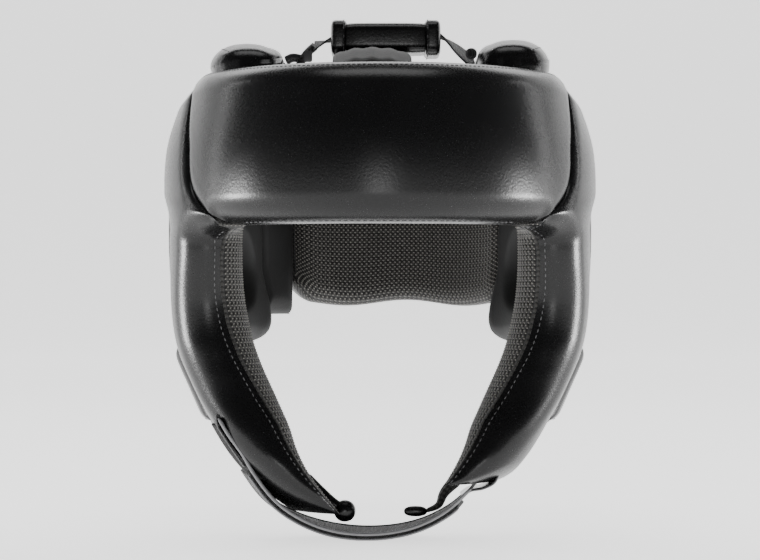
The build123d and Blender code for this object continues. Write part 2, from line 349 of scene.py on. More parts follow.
    def _braid(self, nodes: Node, where: object, uv: object) -> tuple[Num, Num, Num]:
        """Flat braid: two sets of slanted strands.

        Args:
            nodes: Tree to build in.
            where: Object coordinates.
            uv: The piece's UV map.

        Returns:
            Height, colour mask and roughness.
        """
        across, along = self._cells(nodes, uv)
        left = (along + across * 1.6).wave()
        right = (along - across * 1.6).wave()
        yarn = self._noise(nodes, where, 2600.0)
        height = left * 0.6 + right * 0.6 + yarn * 0.2
        return height, left * right * 0.7, self.roughness + yarn * 0.1

    def _smooth(self, nodes: Node, where: object, _uv: object) -> tuple[Num, Num, Num]:
        """Nearly smooth surface with handling marks.

        Args:
            nodes: Tree to build in.
            where: Object coordinates.
            _uv: The piece's UV map.

        Returns:
            Height, colour mask and roughness.
        """
        slow = self._noise(nodes, where, 60.0, 5.0)
        fine = self._noise(nodes, where, 1800.0)
        return slow * 0.4 + fine * 0.2, slow * 0.5, self.roughness + (slow - 0.5) * 0.2


LEATHER = Finish("leather", Weave.LEATHER, (0.0035, 0.0035, 0.0037), (0.007, 0.007, 0.0075),
                 roughness=0.27, coat=0.06, bump=0.08)
MESH = Finish("mesh_lining", Weave.MESH, (0.007, 0.0067, 0.0063), (0.045, 0.043, 0.039),
              roughness=0.62, sheen=0.15, bump=0.55)
LINING = Finish("smooth_lining", Weave.LEATHER, (0.005, 0.005, 0.005), (0.009, 0.009, 0.009),
                roughness=0.62, bump=0.15)
WEBBING = Finish("webbing", Weave.RIBBED, (0.008, 0.008, 0.008), (0.022, 0.022, 0.023),
                 roughness=0.58, sheen=0.2, bump=0.6, pitch=1.9)
PILE = Finish("loop_pile", Weave.PILE, (0.009, 0.009, 0.009), (0.028, 0.028, 0.028),
              roughness=0.9, sheen=0.3, bump=0.9)
HOOK = Finish("hook_tape", Weave.PILE, (0.007, 0.007, 0.007), (0.018, 0.018, 0.018),
              roughness=0.75, bump=0.7)
THREAD = Finish("thread", Weave.SMOOTH, (0.09, 0.09, 0.092), (0.17, 0.17, 0.175),
                roughness=0.45, bump=0.2)
# Painted highlight: the knots' light grey stands in for the glints that black mesh knots catch.
KNOT_PAINTED_GLINT = Finish("mesh_knots_painted_glint", Weave.SMOOTH, (0.17, 0.163, 0.148), (0.29, 0.28, 0.255),
              roughness=0.42, bump=0.2)
# Painted highlight: this light grey stands in for the glossy shine along the chin strap's front
# edges.
PAINTED_EDGE_HIGHLIGHT = Finish("painted_edge_highlight", Weave.SMOOTH, (0.16, 0.16, 0.165), (0.24, 0.24, 0.25),
              roughness=0.24, coat=0.4, bump=0.1)
LACE = Finish("lace", Weave.BRAID, (0.010, 0.010, 0.010), (0.040, 0.040, 0.042),
              roughness=0.55, sheen=0.2, bump=0.7, pitch=1.6)
GLOSS = Finish("tab_plastic", Weave.SMOOTH, (0.05, 0.05, 0.052), (0.09, 0.09, 0.095),
               roughness=0.22, coat=0.4, bump=0.1)
ENAMEL = Finish("eyelet_metal", Weave.SMOOTH, (0.02, 0.02, 0.02), (0.05, 0.05, 0.05),
                roughness=0.3, metallic=0.8, bump=0.1)
FLOOR = Finish("floor", Weave.SMOOTH, (0.86, 0.86, 0.86), (0.9, 0.9, 0.9), roughness=0.7, bump=0.0)

_BUILT: dict[str, bpy.types.Material] = {}


def material(finish: Finish) -> bpy.types.Material:
    """The material of a finish, made once.

    Args:
        finish: The finish.

    Returns:
        Its material.
    """
    if finish.name not in _BUILT:
        _BUILT[finish.name] = finish.build()
    return _BUILT[finish.name]


# ---------------------------------------------------------------- curves and forms
def smooth(profile: Profile, where: Array) -> Array:
    """Smooth curve through (place, value) points.

    Args:
        profile: Points in any order.
        where: Places to read.

    Returns:
        Values, held level past both ends.
    """
    knots = np.array(sorted(profile))
    place, value = knots[:, 0], knots[:, 1]
    slopes = np.gradient(value, place)
    where = np.clip(where, place[0], place[-1])
    spot = np.clip(np.searchsorted(place, where) - 1, 0, len(place) - 2)
    span = place[spot + 1] - place[spot]
    part = (where - place[spot]) / span
    cube, square = part ** 3, part ** 2
    return (
        (2 * cube - 3 * square + 1) * value[spot]
        + (cube - 2 * square + part) * span * slopes[spot]
        + (3 * square - 2 * cube) * value[spot + 1]
        + (cube - square) * span * slopes[spot + 1]
    )


def box_mm(node: str) -> tuple[Array, Array]:
    """Lowest and highest corner of a CAD node in millimetres."""
    low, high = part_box(node)
    return np.array(low) / MM, np.array(high) / MM


@dataclass
class HeadForm:
    """The head surface and the pads' outer surface, as layers around the head."""

    half_width: float
    half_depth: float
    pad_side: float
    pad_front: float
    band_top: float
    chin_drop: float
    shoulder_x: float = 87.0
    shoulder_span: float = 26.0
    shoulder_base: float = 34.0
    shoulder_drop: float = 12.0

    @classmethod
    def from_frame(cls) -> "HeadForm":
        """Read the form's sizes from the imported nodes.

        Returns:
            The head form.
        """
        band_low, band_high = box_mm("forehead_skin")
        panel_high = box_mm("side_panel_right_skin")[1]
        inside = box_mm("side_panel_right_lining")[1][0] - LINING_PLY
        brow = -box_mm("forehead_lining")[0][1] - LINING_PLY
        strap_low = box_mm("chin_strap_web")[0][2]
        return cls(inside, brow, panel_high[0] - inside, -band_low[1] - brow, band_high[2],
                   -strap_low - WEB_HALF)

    def height(self, share: float) -> float:
        """Height of a point below the brow, as a share of the chin drop."""
        return -share * self.chin_drop

    def radius(self, z: Array, layer: Array) -> Array:
        """Half width at height z, moved outwards by layer.

        Args:
            z: Height.
            layer: Distance outwards from the head.

        Returns:
            Half widths in millimetres.
        """
        inset = smooth([
            (self.band_top, 7.0), (0.5 * self.band_top, 0.5), (0.0, 0.0),
            (self.height(0.16), 1.0), (self.height(0.38), 7.0), (self.height(0.63), 20.0),
            (self.height(0.78), 22.0), (self.height(0.86), 26.0), (self.height(0.95), 36.0),
        ], z)
        thin = smooth([
            (0.0, 1.0), (self.height(0.50), 1.0), (self.height(0.63), 0.95),
            (self.height(0.78), 0.75), (self.height(0.95), 0.50),
        ], z)
        return self.half_width + layer * thin - inset

    def depth_ratio(self, layer: Array) -> Array:
        """Depth over width at a layer."""
        return (self.half_depth + layer * self.pad_front / self.pad_side) / (
            self.half_width + layer)

    def point(self, turn: Array, z: Array, layer: Array) -> Array:
        """Points in space, turn in radians from the front towards +X.

        Args:
            turn: Turn around the head.
            z: Height.
            layer: Distance outwards from the head.

        Returns:
            Points in millimetres.
        """
        wide = self.radius(z, layer)
        deep = wide * self.depth_ratio(layer)
        x = wide * np.sin(turn)
        over = np.clip((np.abs(x) - self.shoulder_x) / self.shoulder_span, 0, 1)
        rise = np.clip((z - self.shoulder_base) / (self.band_top - self.shoulder_base), 0, 1.1)
        drop = self.shoulder_drop * over ** 2 * (3 - 2 * over) * rise ** 2
        return np.stack([x, -deep * np.cos(turn), z - drop], axis=-1)

    def turn_at_x(self, x: Array, z: Array, layer: float) -> Array:
        """Turn in front of the ears at x."""
        return np.arcsin(np.clip(x / self.radius(z, layer), -0.985, 0.985))

    def turn_at_y(self, y: Array, z: Array, layer: float) -> Array:
        """Turn on the +X side at depth y."""
        deep = self.radius(z, layer) * self.depth_ratio(layer)
        return np.arccos(np.clip(-y / deep, -0.985, 0.985))


def to_object(name: str, points: Array, faces: list, uvs: Optional[Array] = None
              ) -> bpy.types.Object:
    """Make a mesh object at the origin.

    Args:
        name: Object name.
        points: Vertices in millimetres.
        faces: Vertex indices of each face.
        uvs: One UV pair per vertex, in metres.

    Returns:
        The linked object.
    """
    mesh = bpy.data.meshes.new(name)
    mesh.from_pydata((np.asarray(points) * MM).tolist(), [], faces)
    if uvs is not None:
        layer = mesh.uv_layers.new(name="UVMap")
        index = np.zeros(len(mesh.loops), dtype=np.int32)
        mesh.loops.foreach_get("vertex_index", index)
        layer.data.foreach_set("uv", np.asarray(uvs)[index].astype(np.float32).ravel())
    mesh.polygons.foreach_set("use_smooth", [True] * len(mesh.polygons))
    mesh.update()
    piece = bpy.data.objects.new(name, mesh)
    bpy.context.scene.collection.objects.link(piece)
    return piece


def outward(piece: bpy.types.Object) -> None:
    """Turn every face of a closed mesh outwards.

    Args:
        piece: The mesh object.
    """
    work = bmesh.new()
    work.from_mesh(piece.data)
    bmesh.ops.remove_doubles(work, verts=work.verts, dist=1e-6)
    bmesh.ops.recalc_face_normals(work, faces=work.faces)
    work.to_mesh(piece.data)
    work.free()


def closed_sheet(name: str, top: Array, bottom: Array, finish: Finish,
                 uv: Optional[Array] = None, ring: bool = False) -> bpy.types.Object:
    """Closed mesh between two grids of points that share their outline.

    Args:
        name: Object name.
        top: Grid of points, rows by columns.
        bottom: Grid of the same size for the other face.
        finish: Finish of the sheet.
        uv: UV of each grid point.
        ring: The columns run round and meet.

    Returns:
        The object, with faces outwards.
    """
    rows, columns = top.shape[:2]
    points = np.concatenate([top.reshape(-1, 3), bottom.reshape(-1, 3)])
    shift = rows * columns
    wrap = columns if ring else columns - 1
    faces = []
    for row in range(rows - 1):
        for column in range(wrap):
            after = (column + 1) % columns
            a, b = row * columns + column, row * columns + after
            c, d = a + columns, b + columns
            faces.append((a, b, d, c))
            faces.append((shift + a, shift + c, shift + d, shift + b))
    for row in (0, rows - 1):
        for column in range(wrap):
            a = row * columns + column
            b = row * columns + (column + 1) % columns
            faces.append((a, shift + a, shift + b, b))
    if not ring:
        for column in (0, columns - 1):
            for row in range(rows - 1):
                a = row * columns + column
                faces.append((a, a + columns, shift + a + columns, shift + a))
    uvs = None if uv is None else np.concatenate([uv.reshape(-1, 2)] * 2)
    piece = to_object(name, points, faces, uvs)
    outward(piece)
    piece.data.materials.append(material(finish))
    return piece


# ---------------------------------------------------------------- repeated beads
class Beads:
    """Geometry Nodes tree that lays a rounded bead at every point of a guide mesh."""

    def __init__(self) -> None:
        """Build the tree once."""
        tree = bpy.data.node_groups.new("beads", "GeometryNodeTree")
        face = tree.interface
        face.new_socket("Geometry", in_out="INPUT", socket_type="NodeSocketGeometry")
        for label in ("Length", "Width", "Height"):
            face.new_socket(label, in_out="INPUT", socket_type="NodeSocketFloat")
        face.new_socket("Finish", in_out="INPUT", socket_type="NodeSocketMaterial")
        face.new_socket("Geometry", in_out="OUTPUT", socket_type="NodeSocketGeometry")
        nodes = Node(tree)
        entry = nodes.add("NodeGroupInput")
        bead = nodes.add("GeometryNodeMeshUVSphere", i0=6, i1=4, i2=0.5)
        size = nodes.add("ShaderNodeCombineXYZ", i0=entry.outputs["Length"],
                         i1=entry.outputs["Width"], i2=entry.outputs["Height"])
        sized = nodes.add("GeometryNodeTransform", Geometry=bead.outputs[0],
                          Scale=size.outputs[0])
        up = nodes.add("GeometryNodeInputNamedAttribute", {"data_type": "FLOAT_VECTOR"},
                       Name="up")
        run = nodes.add("GeometryNodeInputNamedAttribute", {"data_type": "FLOAT_VECTOR"},
                        Name="run")
        turn = nodes.add("FunctionNodeAxesToRotation",
                         {"primary_axis": "Z", "secondary_axis": "X"},
                         i0=up.outputs[0], i1=run.outputs[0])
        laid = nodes.add("GeometryNodeInstanceOnPoints", Points=entry.outputs["Geometry"],
                         Instance=sized.outputs[0], Rotation=turn.outputs[0])
        real = nodes.add("GeometryNodeRealizeInstances", Geometry=laid.outputs[0])
        dressed = nodes.add("GeometryNodeSetMaterial", Geometry=real.outputs[0],
                            Material=entry.outputs["Finish"])
        nodes.add("NodeGroupOutput", i0=dressed.outputs[0])
        self.tree = tree
        self.sockets = {item.name: item.identifier for item in face.items_tree
                        if item.in_out == "INPUT"}

    def lay(self, name: str, points: Array, run: Array, up: Array,
            size: tuple[float, float, float], finish: Finish) -> bpy.types.Object:
        """Lay beads and bake them to a plain mesh.

        Args:
            name: Name of the new piece.
            points: Bead centres in millimetres.
            run: Direction of each bead's length.
            up: Direction away from the surface.
            size: Length, width and height in millimetres.
            finish: Finish of the beads.

        Returns:
            The finished piece.
        """
        guide = to_object(name + "_guide", points, [])
        for label, values in (("run", run), ("up", up)):
            layer = guide.data.attributes.new(label, "FLOAT_VECTOR", "POINT")
            layer.data.foreach_set("vector", np.asarray(values, dtype=np.float32).ravel())
        modifier = guide.modifiers.new("beads", "NODES")
        modifier.node_group = self.tree
        for label, value in zip(("Length", "Width", "Height"), size):
            modifier[self.sockets[label]] = value * MM
        modifier[self.sockets["Finish"]] = material(finish)
        graph = bpy.context.evaluated_depsgraph_get()
        mesh = bpy.data.meshes.new_from_object(guide.evaluated_get(graph))
        mesh.name = name
        bpy.data.objects.remove(guide)
        piece = bpy.data.objects.new(name, mesh)
        bpy.context.scene.collection.objects.link(piece)
        mesh.polygons.foreach_set("use_smooth", [True] * len(mesh.polygons))
        return piece


def unit(vectors: Array) -> Array:
    """Vectors of length one."""
    return vectors / np.maximum(np.linalg.norm(vectors, axis=-1, keepdims=True), 1e-9)


def running(points: Array) -> Array:
    """Running length of a line at each of its points."""
    steps = np.linalg.norm(np.diff(points, axis=0), axis=1)
    return np.concatenate([[0.0], np.cumsum(steps)])


def evenly(points: Array, pitch: float, start: float = 0.0) -> Array:
    """Places along a line of points, one pitch apart.

    Args:
        points: The line.
        pitch: Distance between places.
        start: Distance of the first place from the line's start.

    Returns:
        Row numbers into the line, as fractions.
    """
    length = running(points)
    wanted = np.arange(start, length[-1], pitch)
    return np.interp(wanted, length, np.arange(len(points)))


def read_at(values: Array, rows: Array) -> Array:
    """Values at fractional rows.

    Args:
        values: One row per point.
        rows: Row numbers.

    Returns:
        One row of values per row number.
    """
    low = np.clip(np.floor(rows).astype(int), 0, len(values) - 2)
    part = (rows - low)[:, None]
    return values[low] * (1 - part) + values[low + 1] * part


# ---------------------------------------------------------------- pads
@dataclass
class Edge:
    """How a pad ends at one side: its seam's layer and how widely each face rolls in."""

    layer: float
    roll: float
    tuck: float


@dataclass
class Pad:
    """A stitched pad lying on the head form."""

    name: str
    form: HeadForm
    top: float
    bottom: float
    first: Callable[[Array], Array]
    last: Callable[[Array], Array]
    thickness: float
    edges: dict[str, Edge]
    side: int = 1
    bulge: float = 1.0
    columns: int = 56
    rows: int = 64
    level: float = 0.0
    hem: Callable[[Array], Array] = np.zeros_like
    swell: Callable[[Array], Array] = np.zeros_like
    outline: dict = field(default_factory=dict)

    def __post_init__(self) -> None:
        """Lay out the pad's outline on the unrolled form."""
        z = np.linspace(self.top, self.bottom, 160)
        wide = self.form.radius(z, MID_LAYER) * UNROLL
        self.outline["first"] = np.stack([self.first(z) * wide, z], axis=1)
        self.outline["last"] = np.stack([self.last(z) * wide, z], axis=1)
        for label, at in (("top", self.top), ("bottom", self.bottom)):
            height = np.full(60, at)
            start, end = self.first(height), self.last(height)
            turns = start + (end - start) * np.linspace(0, 1, 60)
            self.outline[label] = np.stack(
                [turns * self.form.radius(height, MID_LAYER) * UNROLL, height], axis=1)

    def flat(self, u: Array, z: Array) -> tuple[Array, Array]:
        """Turn, and place on the unrolled form, of points of the pad."""
        start, end = self.first(z), self.last(z)
        turn = start + (end - start) * u
        return turn, np.stack([turn * self.form.radius(z, MID_LAYER) * UNROLL, z], axis=-1)

    def distance(self, place: Array, label: str) -> Array:
        """Distance from points of the unrolled form to one side of the outline.

        Args:
            place: Points of the unrolled form.
            label: Name of the side.

        Returns:
            Distances.
        """
        line = self.outline[label]
        start, step = line[:-1], np.diff(line, axis=0)
        points = place.reshape(-1, 1, 2)
        size = np.maximum((step ** 2).sum(axis=1), 1e-9)
        part = np.clip((((points - start) * step).sum(axis=2)) / size, 0, 1)
        gap = points - (start + part[..., None] * step)
        return np.sqrt((gap ** 2).sum(axis=2)).min(axis=1).reshape(place.shape[:-1])

    def layers(self, u: Array, z: Array) -> tuple[Array, Array, Array]:
        """Turn, outer layer and inner layer of points of the pad.

        Args:
            u: Place across the pad, from 0 to 1.
            z: Height.

        Returns:
            Turn, outer layer and inner layer.
        """
        turn, place = self.flat(u, z)
        fall, rise = 0.0, 0.0
        for label, edge in self.edges.items():
            away = self.distance(place, label)
            over = 1 - np.clip(away / edge.roll, 0, 1)
            under = 1 - np.clip(away / edge.tuck, 0, 1)
            fall = fall + ((self.thickness - edge.layer) * (1 - np.sqrt(1 - over ** 2))) ** 4
            rise = rise + ((edge.layer - self.level) * (1 - np.sqrt(1 - under ** 2))) ** 4
            pucker = np.exp(-away / 4.0) * np.sin(place[..., 0] * 0.9 + place[..., 1] * 0.7)
            fall = fall + np.maximum(0, 0.25 * pucker) ** 4
        fall, rise = fall ** 0.25, rise ** 0.25
        crown = self.bulge * np.sin(np.pi * u) * np.sin(
            np.pi * np.clip((z - self.bottom) / (self.top - self.bottom), 0, 1))
        crown = crown + self.swell(z) * np.sqrt(np.sin(np.pi * np.clip(u, 0, 1)))
        outer = self.thickness + crown - fall
        return turn, outer, np.minimum(rise + self.level, outer)

    def surface(self, u: Array, z: Array, inner: bool = False, proud: float = 0.0) -> Array:
        """Points of the outer or inner face, moved by proud away from the pad.

        Args:
            u: Place across the pad, from 0 to 1.
            z: Height.
            inner: Use the inner face.
            proud: How far to move the points.

        Returns:
            Points in millimetres.
        """
        turn, high, low = self.layers(u, z)
        layer = low - proud if inner else high + proud
        points = self.form.point(turn, z, layer)
        share = np.clip((self.top - z) / (self.top - self.bottom), 0, 1)
        points[..., 2] += self.hem(u) * share ** 3
        points[..., 0] *= self.side
        return points

    def grid(self) -> tuple[Array, Array]:
        """Grid of the pad, closer together at its edges.

        Returns:
            Places across, and heights.
        """
        across = (1 - np.cos(np.linspace(0, np.pi, self.columns))) / 2
        down = (1 - np.cos(np.linspace(0, np.pi, self.rows))) / 2
        across = 0.5 * across + 0.5 * np.linspace(0, 1, self.columns)
        down = 0.55 * down + 0.45 * np.linspace(0, 1, self.rows)
        return np.meshgrid(across, self.top + (self.bottom - self.top) * down)

    def leather(self) -> bpy.types.Object:
        """Closed leather form of the pad.

        Returns:
            The leather piece.
        """
        u, z = self.grid()
        high, low = self.surface(u, z), self.surface(u, z, inner=True)
        for rim in (np.s_[0, :], np.s_[-1, :], np.s_[:, 0], np.s_[:, -1]):
            low[rim] = high[rim]
        return closed_sheet(self.name, high, low, LEATHER)

    def cloth(self, finish: Finish, ply: float = 0.5) -> bpy.types.Object:
        """Lining sheet over the pad's inner face.

        Args:
            finish: Finish of the lining.
            ply: Half its thickness.

        Returns:
            The lining piece.
        """
        u, z = self.grid()
        face = self.surface(u, z, inner=True, proud=ply)
        back = self.surface(u, z, inner=True, proud=-ply)
        run = np.linalg.norm(np.diff(face, axis=1), axis=2)
        across = np.concatenate([np.zeros((len(face), 1)), np.cumsum(run, axis=1)], axis=1)
        uv = np.stack([across, z], axis=-1) * MM
        return closed_sheet(self.name + "_cloth", face, back, finish, uv)

    def knots(self, beads: Beads, pitch: float = 2.7) -> bpy.types.Object:
        """Raised knots of the mesh cloth, staggered row by row.

        Args:
            beads: The bead layer.
            pitch: Distance between knots.

        Returns:
            The knots as one piece.
        """
        points, runs, ups = [], [], []
        fine = np.linspace(0.004, 0.996, 150)
        heights = np.arange(self.bottom + 1.0, self.top - 1.0, pitch * 0.5)
        for count, height in enumerate(heights):
            row_z = np.full_like(fine, height)
            row = self.surface(fine, row_z, inner=True, proud=0.55)
            below = self.surface(fine, row_z - 0.5, inner=True, proud=0.55)
            rows = evenly(row, pitch, pitch / 2 * (count % 2))
            if len(rows) < 2:
                continue
            run = unit(np.gradient(row, axis=0))
            up = unit(np.cross(run, below - row) * self.side)
            points.append(read_at(row, rows))
            slant = unit(read_at(run, rows) + 0.35 * unit(read_at(row - below, rows)))
            runs.append(slant)
            ups.append(unit(read_at(up, rows)))
        # The knots take the painted highlight colour of their glints.
        return beads.lay(self.name + "_knots", np.concatenate(points), np.concatenate(runs),
                         np.concatenate(ups), (1.25, 0.75, 0.55), KNOT_PAINTED_GLINT)

    def edge_line(self, label: str, inset: float, start: float = 0.0, end: float = 1.0
                  ) -> tuple[Array, Array]:
        """Line beside one edge on a face, with the surface's normals.

        Args:
            label: first, last, top or bottom.
            inset: Distance from the edge.
            start: Where the line begins, from 0 to 1 along the edge.
            end: Where it ends.

        Returns:
            Points and normals.
        """
        share = np.linspace(start, end, 240)
        if label in ("top", "bottom"):
            at = self.top - inset if label == "top" else self.bottom + inset
            u, z = share, np.full_like(share, at)
        else:
            z = self.top + (self.bottom - self.top) * share
            span = (self.last(z) - self.first(z)) * self.form.radius(z, MID_LAYER)
            u = inset / np.maximum(span, 1.0)
            u = u if label == "first" else 1 - u
        here = self.surface(u, z)
        step_u = self.surface(u + 0.004, z) - self.surface(u - 0.004, z)
        step_z = self.surface(u, z + 0.3) - self.surface(u, z - 0.3)
        normal = unit(np.cross(step_u, step_z)) * self.side
        outwards = here * np.array([1.0, 1.0, 0.0])
        flip = np.sign((normal * outwards).sum(axis=1, keepdims=True))
        return here, normal * np.where(flip == 0, 1, flip)

    def stitch(self, beads: Beads, tag: str, label: str, inset: float, start: float = 0.0,
               end: float = 1.0, pitch: float = 3.2, length: float = 2.3) -> bpy.types.Object:
        """Row of stitches beside one edge of the pad.

        Args:
            beads: The bead layer.
            tag: End of the piece's name.
            label: Name of the edge.
            inset: Distance from the edge.
            start: Where the row begins, from 0 to 1.
            end: Where it ends.
            pitch: Distance between stitches.
            length: Length of a stitch.

        Returns:
            The stitches as one piece.
        """
        line, normal = self.edge_line(label, inset, start, end)
        rows = evenly(line, pitch)
        run = unit(np.gradient(line, axis=0))
        points = read_at(line, rows) + 0.05 * read_at(normal, rows)
        return beads.lay(f"{self.name}_{tag}", points, read_at(run, rows),
                         read_at(normal, rows), (length, 0.6, 0.45), THREAD)


def dress(piece: bpy.types.Object, body: str, slot: str, *nodes: str,
          fill: Optional[float] = None) -> bpy.types.Object:
    """Fasten a finished piece to its body and hide the CAD nodes that it stands for.

    Args:
        piece: The finished object.
        body: CAD body that it moves with.
        slot: Not used.
        nodes: CAD nodes that it stands for.
        fill: Not used.

    Returns:
        The same piece.
    """
    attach(piece, body)
    if nodes:
        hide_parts(*nodes)
    LOG.info("%s on %s: %d faces", piece.name, body, len(piece.data.polygons))
    return piece


def lofted(name: str, rings: Array, finish: Finish, uvs: Optional[Array] = None,
           flip: bool = False) -> bpy.types.Object:
    """Closed form through rings of points.

    Args:
        name: Object name.
        rings: Points, one row for each ring.
        finish: Finish of the form.
        uvs: One UV pair per point.
        flip: List the first end's points in reverse.

    Returns:
        The form, with faces outwards.
    """
    rows, columns = rings.shape[:2]
    faces = []
    for row in range(rows - 1):
        for column in range(columns):
            after = (column + 1) % columns
            faces.append((row * columns + column, row * columns + after,
                          (row + 1) * columns + after, (row + 1) * columns + column))
    faces.append(tuple(range(columns))[::-1 if flip else 1])
    faces.append(tuple(range((rows - 1) * columns, rows * columns)))
    piece = to_object(name, rings.reshape(-1, 3), faces, uvs)
    outward(piece)
    piece.data.materials.append(material(finish))
    return piece


def tube(name: str, path: Array, size: float, finish: Finish, flat: float = 1.0,
         sides: int = 10, taper: float = 1.0) -> bpy.types.Object:
    """Round or flattened cord along a path, with closed rounded ends.

    Args:
        name: Object name.
        path: Middle line.
        size: Radius.
        finish: Finish of the cord.
        flat: Height over width.
        sides: Points round the cord.
        taper: Radius at the far end over the radius at the start.

    Returns:
        The cord.
    """
    run = unit(np.gradient(path, axis=0))
    aside = unit(np.cross(run, np.array([0.0, 0.02, 1.0])))
    up = np.cross(aside, run)
    ends = np.sqrt(np.clip(1 - np.linspace(1, 0, 4) ** 2, 0, 1))
    swell = np.ones(len(path))
    swell[:4], swell[-4:] = ends, ends[::-1]
    swell *= 1 + (taper - 1) * np.linspace(0, 1, len(path))
    turn = np.linspace(0, 2 * np.pi, sides, endpoint=False)
    rows, uvs = [], []
    for place in range(len(path)):
        ring = np.outer(np.cos(turn), aside[place]) + flat * np.outer(np.sin(turn), up[place])
        rows.append(path[place] + ring * size * max(swell[place], 0.05))
    length = running(path)
    for place in range(len(path)):
        uvs += [(size * math.sin(angle) * MM, length[place] * MM) for angle in turn]
    return lofted(name, np.array(rows), finish, np.array(uvs), flip=True)


def spline(points: Sequence[Sequence[float]], count: int = 80) -> Array:
    """Smooth line through points, evenly spaced.

    Args:
        points: Points on the line.
        count: How many points to return.

    Returns:
        Points along the line.
    """
    knots = np.asarray(points, dtype=float)
    length = running(knots)
    where = np.linspace(0, length[-1], count)
    return np.stack([
        smooth(list(zip(length, knots[:, axis])), where) for axis in range(knots.shape[1])
    ], axis=1)


def ribbon(name: str, path: Array, low_y: float, high_y: float, thickness: float,
           finish: Finish, columns: int = 25, lean: float | Array = 0.0,
           dip: float | Array = 0.0) -> bpy.types.Object:
    """Flat band along a line in the XZ plane, with rounded edges.

    Args:
        name: Object name.
        path: Middle line, x and z.
        low_y: Front edge.
        high_y: Rear edge.
        thickness: Full thickness.
        finish: Finish of the band.
        columns: Points across.
        lean: How far the rear edge stands out towards -X, along the line.
        dip: How far the front edge hangs below the line.

    Returns:
        The band.
    """
    run = unit(np.gradient(path, axis=0))
    away = np.stack([run[:, 1], -run[:, 0]], axis=1)
    across = (1 - np.cos(np.linspace(0, np.pi, columns))) / 2
    edge = np.sqrt(np.clip(1 - (2 * across - 1) ** 12, 0, 1))
    lean = np.broadcast_to(np.asarray(lean, dtype=float).reshape(-1, 1), (len(path), 1))
    dip = np.broadcast_to(np.asarray(dip, dtype=float).reshape(-1, 1), (len(path), 1))
    length = running(path)
    sheets = []
    for face in (1, -1):
        off = face * thickness / 2 * edge
        x = path[:, :1] + away[:, :1] * off - lean * across
        z = path[:, 1:] + away[:, 1:] * off - dip * (1 - across)
        y = np.broadcast_to(low_y + (high_y - low_y) * across, x.shape)
        sheets.append(np.stack([x, y, z], axis=-1))
    uv = np.stack(np.meshgrid(across * (high_y - low_y), length), axis=-1) * MM
    return closed_sheet(name, sheets[0], sheets[1], finish, uv)


def pillow(name: str, centre: Array, half: Array, power: float = 3.2,
           finish: Finish = LEATHER, rows: int = 40, columns: int = 64) -> bpy.types.Object:
    """Rounded block: a superellipsoid.

    Args:
        name: Object name.
        centre: Middle point.
        half: Half sizes along X, Y and Z.
        power: How square it is.
        finish: Finish of the block.
        rows: Rings from end to end.
        columns: Points in each ring.

    Returns:
        The block, with its long axis along X.
    """
    def curve(value: Array) -> Array:
        """Keep the sign and square the corners."""
        return np.sign(value) * np.abs(value) ** (2 / power)

    lat = np.linspace(-np.pi / 2 + 0.02, np.pi / 2 - 0.02, rows)
    lon = np.linspace(0, 2 * np.pi, columns, endpoint=False)
    lat, lon = np.meshgrid(lat, lon, indexing="ij")
    x = curve(np.sin(lat))
    y = curve(np.cos(lat)) * curve(np.cos(lon))
    z = curve(np.cos(lat)) * curve(np.sin(lon))
    grid = centre + np.stack([x, y, z], axis=-1) * half
    uv = np.stack([grid[..., 1], grid[..., 0]], axis=-1).reshape(-1, 2) * MM
    return lofted(name, grid, finish, uv)


